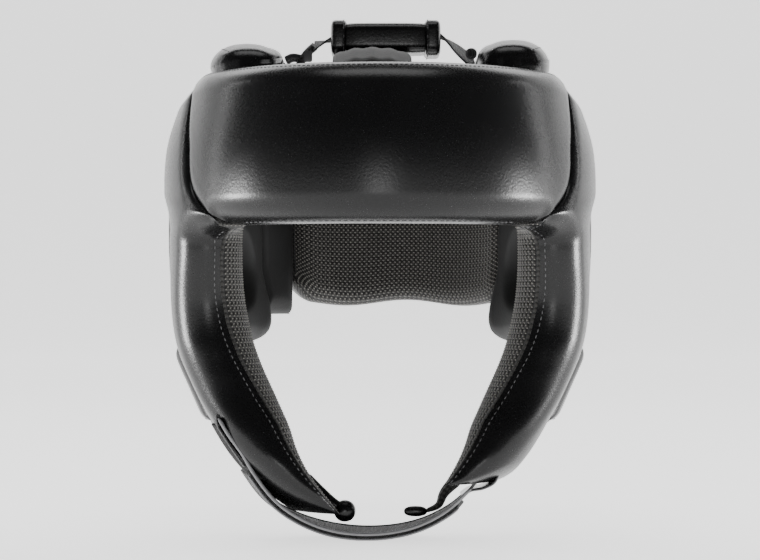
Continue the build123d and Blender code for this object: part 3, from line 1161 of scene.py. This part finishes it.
# ---------------------------------------------------------------- sub-assemblies
@dataclass
class Shell:
    """Forehead pad, cheek pads, ear pads and gussets."""

    form: HeadForm
    beads: Beads
    seam_x: float = 99.0
    rear_y: float = 60.0
    groove: float = 2.6

    def seam(self, z: Array) -> Array:
        """Half width of the forehead pad at height z."""
        return smooth([
            (self.form.band_top, self.seam_x - 1), (42.0, self.seam_x), (12.0, self.seam_x - 5),
            (0.0, self.seam_x - 15), (-8.0, self.seam_x - 20),
        ], z)

    def rim(self, z: Array) -> Array:
        """Half width of the face opening's seam at height z."""
        down = self.form.height
        return smooth([
            (0.0, 78.5), (down(0.03), 80.5), (down(0.09), 81.0), (down(0.27), 80.0),
            (down(0.36), 76.5), (down(0.43), 72.0), (down(0.50), 66.0), (down(0.565), 60.0),
            (down(0.635), 53.0), (down(0.71), 47.0), (down(0.80), 38.0), (down(0.885), 27.0),
            (down(0.94), 20.0),
        ], z)

    def build_forehead(self) -> None:
        """Make the forehead pad with its lining and seams."""
        thick = self.form.pad_side
        pad = Pad(
            "forehead_pad", self.form, self.form.band_top + 2.0, -1.5,
            lambda z: -self.form.turn_at_x(self.seam(z) - 0.3, z, thick),
            lambda z: self.form.turn_at_x(self.seam(z) - 0.3, z, thick),
            thick,
            {
                "first": Edge(thick - self.groove, 7.0, 4.0),
                "last": Edge(thick - self.groove, 7.0, 4.0),
                "top": Edge(20.0, 11.0, 14.0),
                "bottom": Edge(15.0, 15.0, 15.0),
            },
            columns=120, rows=64, bulge=1.2,
        )
        dress(pad.leather(), "root", "leather", "forehead_skin", "forehead_foam", fill=0.9)
        dress(pad.cloth(MESH), "root", "mesh_lining", "forehead_lining")
        dress(pad.stitch(self.beads, "top_stitch", "top", 1.6, 0.02, 0.98, 2.6, 2.0), "root",
              "leather")
        dress(pad.stitch(self.beads, "brow_stitch", "bottom", 1.2, 0.08, 0.92), "root", "leather")

    def rear_edge(self, z: Array) -> Array:
        """Depth of the cheek piece's rear edge at height z."""
        down = self.form.height
        return smooth([
            (self.form.band_top + 1, 34.0), (self.form.band_top - 6, 50.0), (58.0, 58.5),
            (44.0, self.rear_y), (24.0, self.rear_y), (18.0, 52.0), (15.5, 34.0), (13.5, 12.0),
            (10.0, -4.0), (2.0, -13.0), (-12.0, -14.0), (down(0.38), -14.0),
            (down(0.52), -21.0), (down(0.70), -30.0), (down(0.94), -40.0),
        ], z)

    def cheek_swell(self, z: Array) -> Array:
        """How far the cheek piece is filled out beyond its plain thickness."""
        return smooth([
            (self.form.band_top, 1.5), (30.0, 3.5), (-20.0, 2.0), (self.form.height(0.40), 6.0),
            (self.form.height(0.60), 9.0), (self.form.height(0.74), 7.0),
            (self.form.height(0.86), 2.5), (self.form.height(0.94), 0.0),
        ], z)

    def build_cheek(self, side: int) -> None:
        """Make one side panel with its cheek arm.

        Args:
            side: -1 for the left, 1 for the right.
        """
        label = "left" if side < 0 else "right"
        thick = self.form.pad_side
        bottom = self.form.height(0.935 if side < 0 else 0.838)

        def front(z: Array) -> Array:
            """Seam beside the forehead above, rim of the face opening below.

            Args:
                z: Height.

            Returns:
                Turns.
            """
            seam = self.form.turn_at_x(self.seam(z) + 0.3, z, thick)
            rim = self.form.turn_at_x(self.rim(z), z, MID_LAYER)
            low = 1 / (1 + np.exp((np.asarray(z) + 3.5) / 1.5))
            return seam * (1 - low) + rim * low

        pad = Pad(
            f"cheek_{label}", self.form, self.form.band_top, bottom, front,
            lambda z: self.form.turn_at_y(self.rear_edge(z), z, MID_LAYER),
            thick,
            {
                "last": Edge(24.0, 9.0, 18.0),
                "top": Edge(20.0, 11.0, 14.0),
                "bottom": Edge(16.0, 12.0, 12.0),
                "seam": Edge(thick - self.groove, 7.0, 4.0),
                "rim": Edge(16.0, 15.0, 16.0),
            },
            side=side, columns=72, rows=190, bulge=1.0, swell=self.cheek_swell,
        )
        self._split_front(pad)
        dress(pad.leather(), "root", "leather", f"side_panel_{label}_skin",
              f"side_panel_{label}_foam", f"cheek_arm_{label}_skin", f"cheek_arm_{label}_foam",
              fill=0.9)
        dress(pad.cloth(MESH), "root", "mesh_lining", f"side_panel_{label}_lining",
              f"cheek_arm_{label}_lining")
        dress(pad.knots(self.beads), "root", "mesh_lining")
        dress(pad.stitch(self.beads, "rim_stitch", "first", 0.25, 0.36, 0.99), "root", "leather")
        if side < 0:
            u, z = np.meshgrid(np.linspace(0.50, 0.86, 24), np.linspace(-103.0, -130.0, 24))
            patch = closed_sheet("chin_hook", pad.surface(u, z, proud=1.3),
                                 pad.surface(u, z, proud=-0.3), HOOK)
            dress(patch, "root", "hook_tape", "chin_hook_patch")

    def _split_front(self, pad: Pad) -> None:
        """Divide the front edge into the flush forehead seam and the rolled rim.

        Args:
            pad: The cheek pad.
        """
        line = pad.outline.pop("first")
        upper = line[:, 1] > -2.0
        pad.outline["seam"] = line[upper]
        pad.outline["rim"] = line[~upper]

    def build_ear(self, side: int) -> None:
        """Make one ear pad: a rounded block with a hole.

        Args:
            side: -1 for the left, 1 for the right.
        """
        label = "left" if side < 0 else "right"
        low, high = box_mm(f"ear_pad_{label}_skin")
        hole_y, hole_z, hole = 22.0, -22.0, 16.0
        thick = self.form.pad_side + 2.0
        turns = np.linspace(0, 2 * np.pi, 96, endpoint=False)
        middle = np.array([(low[1] + high[1]) / 2, (low[2] + high[2]) / 2])
        half = np.array([high[1] - low[1], high[2] - low[2]]) / 2 + 2.2
        power = 0.34
        outer = middle + half * np.stack([
            np.sign(np.cos(turns)) * np.abs(np.cos(turns)) ** power,
            np.sign(np.sin(turns)) * np.abs(np.sin(turns)) ** power], axis=1)
        inner = np.array([hole_y, hole_z]) + hole * np.stack(
            [np.cos(turns), np.sin(turns)], axis=1)
        share = (1 - np.cos(np.linspace(0, np.pi, 26))) / 2
        flat = inner[None] + (outer - inner)[None] * share[:, None, None]
        span = np.linalg.norm(outer - inner, axis=1)
        to_hole = share[:, None] * span
        to_rim = (1 - share[:, None]) * span
        seam = 20.0
        fall, rise = 0.0, 0.0
        for away, roll in ((to_hole, 9.0), (to_rim, 12.0)):
            over = 1 - np.clip(away / roll, 0, 1)
            fall = fall + ((thick - seam) * (1 - np.sqrt(1 - over ** 2))) ** 4
            rise = rise + (seam * (1 - np.sqrt(1 - over ** 2))) ** 4
        top_layer = thick - fall ** 0.25
        low_layer = rise ** 0.25
        sheets = []
        for layer in (top_layer, low_layer, low_layer - 0.5, low_layer + 0.5):
            turn = self.form.turn_at_y(flat[..., 0], flat[..., 1], layer)
            points = self.form.point(turn, flat[..., 1], layer)
            points[..., 0] *= side
            sheets.append(points)
        sheets[1][0], sheets[1][-1] = sheets[0][0], sheets[0][-1]
        pad = closed_sheet(f"ear_pad_{label}", sheets[0], sheets[1], LEATHER, ring=True)
        dress(pad, "root", "leather", f"ear_pad_{label}_skin", f"ear_pad_{label}_foam", fill=0.85)
        cloth = closed_sheet(f"ear_pad_{label}_cloth", sheets[2], sheets[3], LINING,
                             flat * MM, ring=True)
        dress(cloth, "root", "mesh_lining", f"ear_pad_{label}_lining")

    def build_gusset(self, side: int) -> None:
        """Make one jaw gusset below the ear pad.

        Args:
            side: -1 for the left, 1 for the right.
        """
        label = "left" if side < 0 else "right"
        low, high = box_mm(f"jaw_gusset_{label}")
        outer = self.form.pad_side + 2.0
        down = self.form.height

        def rear(z: Array) -> Array:
            """Depth of the gusset's rear edge."""
            lift = np.clip((z - high[2]) / (low[2] - high[2]), 0, 1)
            return 26.0 - 40.0 * lift ** 1.4

        pad = Pad(
            f"jaw_gusset_pad_{label}", self.form, high[2] + 3.0, low[2],
            lambda z: self.form.turn_at_y(
                smooth([(down(0.38), -17.0), (down(0.52), -25.0), (down(0.70), -34.0)], z),
                z, 24.0),
            lambda z: self.form.turn_at_y(rear(z), z, 24.0),
            outer + 5.0,
            {"first": Edge(30.0, 6.0, 5.0), "last": Edge(35.0, 4.0, 6.0),
             "top": Edge(26.0, 12.0, 6.0), "bottom": Edge(34.0, 5.0, 6.0)},
            side=side, columns=30, rows=30, bulge=0.6, level=24.0,
        )
        dress(pad.leather(), "root", "leather", f"jaw_gusset_{label}", fill=0.6)
        dress(pad.stitch(self.beads, "stitch", "last", 2.4), "root", "leather")

    def build(self) -> None:
        """Make the whole shell."""
        self.build_forehead()
        for side in (-1, 1):
            self.build_cheek(side)
            self.build_ear(side)
            self.build_gusset(side)


@dataclass
class Back:
    """Rear flap, left wing and the strap that closes them."""

    form: HeadForm
    beads: Beads
    thick: float = 24.0
    mid: float = 12.0
    strap_layer: float = 25.6
    strap_lift: float = 28.35

    def flap_hem(self, u: Array) -> Array:
        """Rise of the flap's lower edge: rounded corners and a shallow wave."""
        corner = np.clip(1 - u / 0.10, 0, 1) ** 2 + np.clip((u - 0.90) / 0.10, 0, 1) ** 2
        return 11.0 * corner + 1.6 * np.cos(4 * np.pi * u)

    def free_edges(self) -> dict[str, Edge]:
        """The three free sides of a back pad."""
        return {label: Edge(self.mid, 11.0, 11.0) for label in ("last", "top", "bottom")}

    def build_flap(self) -> None:
        """Make the hinged rear flap with its mesh lining."""
        low, high = box_mm("rear_flap_skin")
        edge_x = low[0] + 0.4
        front_y = 59.0

        def free(z: Array) -> Array:
            """Free edge on the left."""
            return np.pi + np.arcsin(-edge_x / self.form.radius(z, self.mid))

        def hinge(z: Array) -> Array:
            """Hinge edge on the right."""
            return self.form.turn_at_y(front_y, z, self.mid)

        pad = Pad(
            "rear_flap_pad", self.form, high[2], low[2], hinge, free, self.thick,
            {"first": Edge(14.0, 10.0, 10.0), **self.free_edges()},
            columns=90, rows=60, bulge=0.6, hem=self.flap_hem,
        )
        dress(pad.leather(), "rear_flap", "leather", "rear_flap_skin", "rear_flap_foam", fill=0.85)
        dress(pad.cloth(MESH), "rear_flap", "mesh_lining", "rear_flap_lining")
        dress(pad.knots(self.beads), "rear_flap", "mesh_lining")
        dress(pad.stitch(self.beads, "stitch", "bottom", 3.0, 0.03, 0.97), "rear_flap", "leather")

    def build_wing(self) -> None:
        """Make the left rear wing."""
        low, high = box_mm("rear_wing_skin")
        pad = Pad(
            "rear_wing_pad", self.form, high[2], low[2],
            lambda z: self.form.turn_at_y(58.0, z, self.mid),
            lambda z: np.pi - np.arcsin(52.2 / self.form.radius(z, self.mid)),
            self.thick,
            {"first": Edge(15.0, 9.0, 9.0), **self.free_edges()},
            side=-1, columns=40, rows=60, bulge=0.4,
        )
        dress(pad.leather(), "root", "leather", "rear_wing_skin", "rear_wing_foam", fill=0.8)
        dress(pad.cloth(LINING), "root", "mesh_lining", "rear_wing_lining")

    def strap(self, name: str, start: float, end: float, layers: tuple[float, float],
              thickness: float, finish: Finish, inset: float = 0.0) -> bpy.types.Object:
        """Flat strap lying round the back.

        Args:
            name: Name of the piece.
            start: X of one end.
            end: X of the other end.
            layers: Height above the head form at the two ends.
            thickness: Full thickness.
            finish: Finish of the strap.
            inset: How much narrower than the webbing it is on each side.

        Returns:
            The strap.
        """
        low, high = box_mm("rear_strap_base")
        across = (1 - np.cos(np.linspace(0, np.pi, 22))) / 2
        along = (1 - np.cos(np.linspace(0, np.pi, 70))) / 2
        z = high[2] - inset - (high[2] - low[2] - 2 * inset) * across
        v, z = np.meshgrid(along, z, indexing="ij")
        edge = (1 - np.abs(2 * across - 1) ** 10) * (1 - np.abs(2 * v - 1) ** 24)
        half = thickness / 2 * np.sqrt(np.clip(edge, 0, 1))
        x = start + (end - start) * v
        middle = layers[0] + (layers[1] - layers[0]) * v ** 2
        sheets = []
        for face in (1, -1):
            layer = middle + face * half
            turn = np.pi - np.arcsin(x / self.form.radius(z, layer))
            sheets.append(self.form.point(turn, z, layer))
        uv = np.stack([z, x], axis=-1) * MM
        return closed_sheet(name, sheets[0], sheets[1], finish, uv)

    def build_straps(self) -> None:
        """Make the closing strap with its hook and loop faces."""
        base_low, base_high = box_mm("rear_strap_base")
        end = box_mm("rear_strap_tip")[0][0] + 0.6
        turn = base_low[0] - 1.0
        dress(self.strap("rear_strap_root", base_high[0], turn,
                         (self.strap_layer, self.strap_lift), 1.7, WEBBING),
              "rear_flap", "webbing", "rear_strap_base")
        dress(self.strap("rear_strap_end", turn, end, (self.strap_lift,) * 2, 1.7, WEBBING),
              "rear_strap", "webbing", "rear_strap_tip")
        dress(self.strap("rear_hook", turn - 3, end + 3, (26.6, 26.6), 1.6, HOOK, 2.0),
              "rear_strap", "hook_tape", "rear_strap_hook")
        dress(self.strap("rear_loop", turn - 1, end + 1, (24.9, 24.9), 1.6, PILE, 1.0),
              "root", "loop_pile", "rear_loop_patch")
        left, right = base_low[0] + 22, base_high[0] - 3
        under, over = base_low[2] + 3, base_high[2] - 3
        box = [(right, over), (right, under), (left, under), (left, over), (right, over),
               (left, under), (left, over), (right, under)]
        points, runs, ups = [], [], []
        for (ax, az), (bx, bz) in zip(box, box[1:]):
            count = max(int(math.hypot(bx - ax, bz - az) / 3.0), 2)
            share = (np.arange(count) + 0.5) / count
            x, z = ax + (bx - ax) * share, az + (bz - az) * share
            v = (base_high[0] - x) / (base_high[0] - turn)
            layer = self.strap_layer + (self.strap_lift - self.strap_layer) * v ** 2 + 0.95
            angle = np.pi - np.arcsin(x / self.form.radius(z, layer))
            line = self.form.point(angle, z, layer)
            points.append(line)
            runs.append(unit(np.gradient(line, axis=0)))
            ups.append(unit(line * np.array([1.0, 1.0, 0.0])))
        stitches = self.beads.lay("rear_strap_stitch", np.concatenate(points),
                                  np.concatenate(runs), np.concatenate(ups),
                                  (2.1, 0.7, 0.5), THREAD)
        dress(stitches, "rear_flap", "webbing")

    def build_hinge(self) -> None:
        """Make the seam strip on which the flap folds."""
        z = np.linspace(40.0, -36.0, 40)
        y = np.linspace(55.0, 68.0, 14)
        y, z = np.meshgrid(y, z)
        sheets = []
        for layer in (12.8, 11.2):
            sheets.append(self.form.point(self.form.turn_at_y(y, z, layer), z, layer))
        strip = closed_sheet("flap_hinge_strip", sheets[0], sheets[1], LEATHER)
        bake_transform(strip)
        LOG.info("%s between root and rear_flap: %d faces", strip.name,
                 len(strip.data.polygons))

    def build(self) -> None:
        """Make the back and its straps."""
        self.build_flap()
        self.build_wing()
        self.build_straps()
        self.build_hinge()


@dataclass
class Crown:
    """Crown pads, tongue, roll, webbing and lace."""

    form: HeadForm
    beads: Beads
    pad_sink: float = 17.0
    pad_narrow: float = 3.0

    def build_pad(self, side: int) -> None:
        """Make one crown pad: a stitched roll along the head.

        Args:
            side: -1 for the left, 1 for the right.
        """
        label = "left" if side < 0 else "right"
        low, high = box_mm(f"crown_pad_{label}_skin")
        middle = (low + high) / 2
        half = (high - low) / 2
        rows, columns = 60, 56
        along = np.linspace(-1, 1, rows)
        turn = np.linspace(0, 2 * np.pi, columns, endpoint=False)
        grid = np.zeros((rows, columns, 3))
        for row, share in enumerate(along):
            full = max(1 - abs(share) ** 6, 0.0) ** 0.5
            wide = (half[0] - self.pad_narrow) * (0.25 + 0.75 * full)
            lean = -side * (self.pad_narrow + 3.0 * share ** 2)
            cosine, sine = np.cos(turn), np.sin(turn)
            x = np.sign(cosine) * np.abs(cosine) ** 0.6 * wide
            tall = np.where(sine > 0, half[2] * (0.2 + 0.8 * full) + side, self.pad_sink)
            z = np.sign(sine) * np.abs(sine) ** 0.75 * tall
            slope = np.clip(x * side / half[0], -0.5, 1.0)
            z = z - 6.0 * slope ** 2 * (sine > 0) - 3.0 * share ** 2
            grid[row, :, 0] = middle[0] + x + lean
            grid[row, :, 1] = middle[1] + share * half[1]
            grid[row, :, 2] = middle[2] + z
        pad = lofted(f"crown_pad_{label}", grid, LEATHER)
        dress(pad, "root", "leather", f"crown_pad_{label}_skin", f"crown_pad_{label}_foam",
              fill=0.9)
        line = grid[2:-2, int(columns * 0.16)] if side > 0 else grid[2:-2, int(columns * 0.34)]
        rows_at = evenly(line, 3.0)
        up = np.tile(np.array([side * 0.5, 0.0, 0.85]), (len(rows_at), 1))
        seam = self.beads.lay(f"crown_pad_{label}_stitch", read_at(line, rows_at),
                              read_at(unit(np.gradient(line, axis=0)), rows_at), up,
                              (2.1, 0.6, 0.5), THREAD)
        dress(seam, "root", "leather")

    def build_roll(self) -> None:
        """Make the padded roll with its end bands."""
        low, high = box_mm("crown_bolster_cover")
        body = pillow("crown_roll_cover", (low + high) / 2, (high - low) / 2 - 0.1, 5.0)
        dress(body, "crown_roll", "leather", "crown_bolster_cover", "crown_bolster_foam", fill=0.9)
        for label in ("left", "right"):
            node = f"crown_bolster_band_{label}"
            low, high = box_mm(node)
            band = pillow(f"crown_roll_band_{label}", (low + high) / 2, (high - low) / 2, 5.0)
            dress(band, "crown_roll", "leather", node)
            points, up = [], []
            middle, half = (low + high) / 2, (high - low) / 2
            for angle in np.linspace(0, 2 * np.pi, 38, endpoint=False):
                spot = np.array([0.0, math.cos(angle), math.sin(angle)])
                curve = np.sign(spot) * np.abs(spot) ** 0.4
                inward = 1 if label == "left" else -1
                points.append(middle + curve * half + [inward * half[0] * 0.55, 0, 0])
                up.append(spot)
            run = np.roll(np.array(points), -1, axis=0) - np.array(points)
            ring = self.beads.lay(f"crown_roll_stitch_{label}", np.array(points), unit(run),
                                  np.array(up), (1.8, 0.6, 0.5), THREAD)
            dress(ring, "crown_roll", "leather")

    def build_web(self) -> None:
        """Make the webbing that carries the roll, and its lace."""
        low, high = box_mm("crown_web")
        level = high[2] - 0.8
        pad_x = box_mm("crown_pad_right_skin")[0][0]
        path = spline([(low[0], level), (0.0, level), (38.0, level), (44.0, level - 3.5),
                       (pad_x - 1.4, low[2] + 6.0), (pad_x - 1.2, low[2])], 90)
        hang = smooth([(0.0, 7.0), (0.10, 0.0), (0.5, 0.0), (0.70, 0.0), (0.80, 7.0), (1.0, 9.0)],
                      np.linspace(0, 1, len(path)))
        web = ribbon("crown_webbing", path, low[1], high[1], 1.6, WEBBING, dip=hang)
        dress(web, "root", "webbing", "crown_web")
        low, high = box_mm("crown_lace")
        strands = []
        for place, leg in enumerate((low[1] + 1.8, high[1] - 1.8)):
            path = spline([(low[0] + 0.6, leg, low[2] + 1.0), (low[0] + 4.0, leg, low[2] + 2.6),
                           (low[0] + 9.0, leg * 0.96, low[2] + 2.2)], 40)
            strands.append(tube(f"crown_lace_{place}", path, 2.6, LACE, 0.6))
        dress(strands[0], "root", "lace", "crown_lace")
        dress(strands[1], "root", "lace")
        start = box_mm("crown_web")[0]
        fold = spline([(start[0] + 0.4, level - 2.0), (start[0] - 2.5, level - 4.5),
                       (start[0] - 5.5, level - 8.0), (start[0] - 7.5, level - 11.5)], 60)
        dress(ribbon("crown_web_fold", fold, start[1] + 1.5, -start[1] - 1.5, 4.2, WEBBING,
                     dip=3.0), "root", "webbing")
        knot = pillow("crown_knot", np.array([pad_x - 3.0, -12.5, level - 8.5]),
                      np.array([3.0, 2.6, 3.0]), 2.2, LACE, 20, 24)
        dress(knot, "root", "lace")
        tag = pillow("crown_tag", np.array([start[0] - 3.0, -13.2, level - 10.0]),
                     np.array([2.4, 0.5, 3.0]), 6.0, GLOSS, 14, 20)
        dress(tag, "root", "tab_plastic")

    def build_tongue(self) -> None:
        """Make the padded tongue under the roll."""
        low, high = box_mm("crown_tongue")
        count, across = 50, 33
        y = np.linspace(low[1] + 0.5, high[1] - 0.5, count)
        middle = smooth([(low[1], low[2] + 2.2), (low[1] + 26.0, high[2] - 1.0),
                         ((low[1] + high[1]) / 2, high[2] - 2.2), (high[1], high[2] - 3.4)], y)
        u = np.linspace(-1, 1, across)
        grid_y, grid_u = np.meshgrid(y, u, indexing="ij")
        base = middle[:, None] - 3.0 * grid_u ** 2
        rounding = np.sqrt(np.clip(1 - np.abs(grid_u) ** 6, 0, 1))
        ends = np.clip((grid_y - low[1]) / 4.0, 0, 1) ** 0.5 * np.clip(
            (high[1] - grid_y) / 4.0, 0, 1) ** 0.5
        channel = 0.35 * np.cos(grid_u * 14.0)
        half = 2.0 * rounding * ends
        x = (low[0] + high[0]) / 2 + grid_u * (high[0] - low[0]) / 2
        top = np.stack([x, grid_y, base + half + channel * rounding * ends], axis=-1)
        under = np.stack([x, grid_y, base - half], axis=-1)
        piece = closed_sheet("crown_tongue_pad", top, under, LINING)
        dress(piece, "root", "leather", "crown_tongue", fill=0.5)

    def build(self) -> None:
        """Make the whole crown."""
        for side in (-1, 1):
            self.build_pad(side)
        self.build_tongue()
        self.build_roll()
        self.build_web()


@dataclass
class Chin:
    """Chin strap and the ends of the cheek arms."""

    form: HeadForm
    beads: Beads
    front: float = -62.0
    width: float = 36.0

    def line(self) -> tuple[Array, Array]:
        """Front edge of the strap, from the left cheek under the chin.

        Returns:
            The line in the XZ plane, and how far the rear edge stands out beside it.
        """
        drop, wide = self.form.chin_drop, self.form.half_width + self.form.pad_side
        path = spline([
            (-0.745 * wide, -0.625 * drop), (-0.705 * wide, -0.672 * drop),
            (-0.64 * wide, -0.735 * drop), (-0.575 * wide, -0.81 * drop),
            (-0.475 * wide, -0.895 * drop), (-0.29 * wide, -0.97 * drop),
            (-0.02 * wide, -0.995 * drop), (0.19 * wide, -0.965 * drop),
            (0.31 * wide, -0.92 * drop), (0.42 * wide, -0.85 * drop),
        ], 150)
        share = np.linspace(0, 1, len(path))
        lean = smooth([(0.0, 5.0), (0.2, 6.0), (0.35, 6.0), (0.55, 0.0), (1.0, -4.0)], share)
        return path, lean

    def build_strap(self) -> None:
        """Make the webbing, the pile layer, the pull end and the bound edges, the front edges with
        a painted highlight.
        """
        path, lean = self.line()
        rear = self.front + self.width
        web = ribbon("chin_webbing", path, self.front, rear, 1.6, WEBBING, lean=lean)
        dress(web, "chin_strap", "webbing", "chin_strap_web")
        run = unit(np.gradient(path, axis=0))
        away = np.stack([run[:, 1], -run[:, 0]], axis=1)
        pile = slice(30, 140)
        dress(ribbon("chin_pile", path[pile] + away[pile] * 1.9, self.front + 1, rear - 1, 2.0,
                     PILE, lean=lean[pile]), "chin_strap", "loop_pile", "chin_strap_pile")
        fold = spline([path[26] + away[26] * 2.2, path[10] + away[10] * 2.4,
                       path[2] + away[2] * 2.0, path[0] - 1.6 * run[0],
                       path[2] - away[2] * 1.4], 50)
        dress(ribbon("chin_pull", fold, self.front + 2, rear - 2, 1.5, WEBBING, lean=5.0),
              "chin_strap", "leather", "chin_strap_pull")
        for label, y, share in (("front", self.front, 0.0), ("rear", rear, 1.0)):
            edge = np.stack([path[:, 0] - lean * share, np.full(len(path), y), path[:, 1]], axis=1)
            # The front binding takes the painted edge highlight; the rear binding is plain
            # leather.
            size, finish = (0.95, PAINTED_EDGE_HIGHLIGHT) if label == "front" else (1.3, LEATHER)
            dress(tube(f"chin_binding_{label}", edge, size, finish), "chin_strap", "leather")
        outer = path[pile] + away[pile] * 2.9
        edge = np.stack([outer[:, 0], np.full(len(outer), self.front + 0.8), outer[:, 1]], axis=1)
        # The pile's front edge also takes the painted edge highlight.
        dress(tube("chin_pile_edge", edge, 0.6, PAINTED_EDGE_HIGHLIGHT), "chin_strap", "leather")

    def build_tab(self) -> None:
        """Make the glossy loop that joins the strap to the right arm."""
        path, _ = self.line()
        x, z = path[-1]
        loop = spline([(x + 15, z + 8), (x + 12, z + 2.5), (x + 6, z - 0.5), (x, z - 1.6),
                       (x - 4.5, z - 4.6)], 40)
        tab = ribbon("chin_tab", loop, self.front + 5, self.front + self.width - 5, 1.7, GLOSS)
        dress(tab, "root", "tab_plastic", "chin_loop_tab")

    def build_ends(self) -> None:
        """Make the two arm ends, with a mesh-lined tab and a leather leaf on the right."""
        low, high = box_mm("chin_tip_left")
        ball = pillow("chin_end_left", (low + high) / 2, (high - low) / 2, 2.1, LEATHER, 24, 32)
        dress(ball, "root", "leather", "chin_tip_left")
        centre = (low + high) / 2
        neck = spline([centre + [-21.0, 2.0, 18.0], centre + [-13.0, 1.0, 10.0],
                       centre + [-5.0, 0.0, 3.0], centre], 30)
        dress(tube("chin_neck_left", neck, 3.0, LEATHER, 1.0, 14), "root", "leather")
        low, high = box_mm("chin_tip_right")
        y = (low[1] + high[1]) / 2
        path = spline([(high[0] - 1, y, high[2] + 2), (high[0] - 8, y, high[2] - 6),
                       (low[0] + 17, y, low[2] + 6), (low[0] + 10, y, low[2] + 2.5)], 40)
        tab = tube("chin_end_right", path, 5.0, MESH, 0.7, 16, taper=0.3)
        dress(tab, "root", "mesh_lining", "chin_tip_right")
        leaf = pillow("chin_leaf_right", np.array([low[0] + 5.0, y, low[2] + 2.6]),
                      np.array([6.0, 3.0, 2.7]), 2.4, LEATHER, 24, 32)
        dress(leaf, "root", "leather")

    def build(self) -> None:
        """Make the strap and ends."""
        self.build_strap()
        self.build_tab()
        self.build_ends()


@dataclass
class Stage:
    """Floor, lights and camera."""

    distance: float = 1.4
    eye_height: float = -0.029
    lens: float = 125.0
    glow: float = 1.35

    def build(self) -> None:
        """Set up the studio."""
        low = CAD_BOX[0][2]
        rows = []
        for share in np.linspace(0, 1, 40):
            if share < 0.5:
                rows.append((-6000 + share * 2 * 9000, low / MM))
            else:
                angle = (share - 0.5) * np.pi
                rows.append((3000 + 1500 * math.sin(angle),
                             low / MM + 1500 * (1 - math.cos(angle))))
        rows.append((4500, low / MM + 6000))
        points = [(x, y, z) for y, z in rows for x in (-8000, 8000)]
        faces = [(2 * i, 2 * i + 1, 2 * i + 3, 2 * i + 2) for i in range(len(rows) - 1)]
        floor = to_object("floor", np.array(points), faces)
        floor.data.materials.append(material(FLOOR))
        for node in material(FLOOR).node_tree.nodes:
            if node.type == "BSDF_PRINCIPLED":
                node.inputs["Emission Color"].default_value = (1.0, 1.0, 1.0, 1.0)
                node.inputs["Emission Strength"].default_value = self.glow
        for side, label in ((-1, "left"), (1, "right")):
            self.light(f"strip_{label}", (side * 1.25, 0.35, 0.15), (0.10, 1.5), 3.5)
            self.light(f"low_{label}", (side * 0.9, -0.05, -0.09), (0.24, 0.12), 6.0)
        self.light("overhead", (0.0, -0.3, 1.6), (1.2, 0.8), 9.0)
        self.light("low_front", (0.0, -1.9, -0.10), (0.45, 0.12), 2.5)
        self.light("behind", (0.0, 1.2, 1.3), (2.0, 0.6), 9.0)
        world = bpy.data.worlds.new("studio")
        world.use_nodes = True
        back = world.node_tree.nodes["Background"]
        back.inputs[0].default_value = (1.0, 1.0, 1.0, 1.0)
        back.inputs[1].default_value = 0.07
        bpy.context.scene.world = world
        eye = bpy.data.cameras.new("camera")
        eye.lens = self.lens
        camera = bpy.data.objects.new("camera", eye)
        camera.location = (0.0, -self.distance, self.eye_height)
        camera.rotation_euler = (math.pi / 2, 0.0, 0.0)
        bpy.context.scene.collection.objects.link(camera)
        bpy.context.scene.camera = camera

    def light(self, name: str, place: tuple[float, float, float],
              size: tuple[float, float], power: float) -> None:
        """Area light that looks at the headgear.

        Args:
            name: Object name.
            place: Where it stands, in metres.
            size: Width and height.
            power: Watts.
        """
        lamp = bpy.data.lights.new(name, "AREA")
        lamp.shape = "RECTANGLE"
        lamp.size, lamp.size_y = size
        lamp.energy = power
        holder = bpy.data.objects.new(name, lamp)
        holder.location = place
        holder.rotation_euler = (-Vector(place)).to_track_quat("-Z", "Y").to_euler()
        holder.visible_camera = False
        bpy.context.scene.collection.objects.link(holder)


def finish_plain_nodes() -> None:
    """Give the CAD nodes that stay visible their materials."""
    kept = {"crown_eyelets": ENAMEL, "rear_hinge_welt": LEATHER}
    for name, finish in kept.items():
        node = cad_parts[name]
        piece = node if isinstance(node, bpy.types.Object) else bpy.data.objects[name]
        piece.data.materials.clear()
        piece.data.materials.append(material(finish))


def main() -> None:
    """Build the headgear and its studio."""
    logging.basicConfig(level=logging.INFO, format="%(message)s")
    Stage().build()
    form = HeadForm.from_frame()
    beads = Beads()
    Shell(form, beads).build()
    Back(form, beads).build()
    Crown(form, beads).build()
    Chin(form, beads).build()
    finish_plain_nodes()


if __name__ == "__main__":
    main()
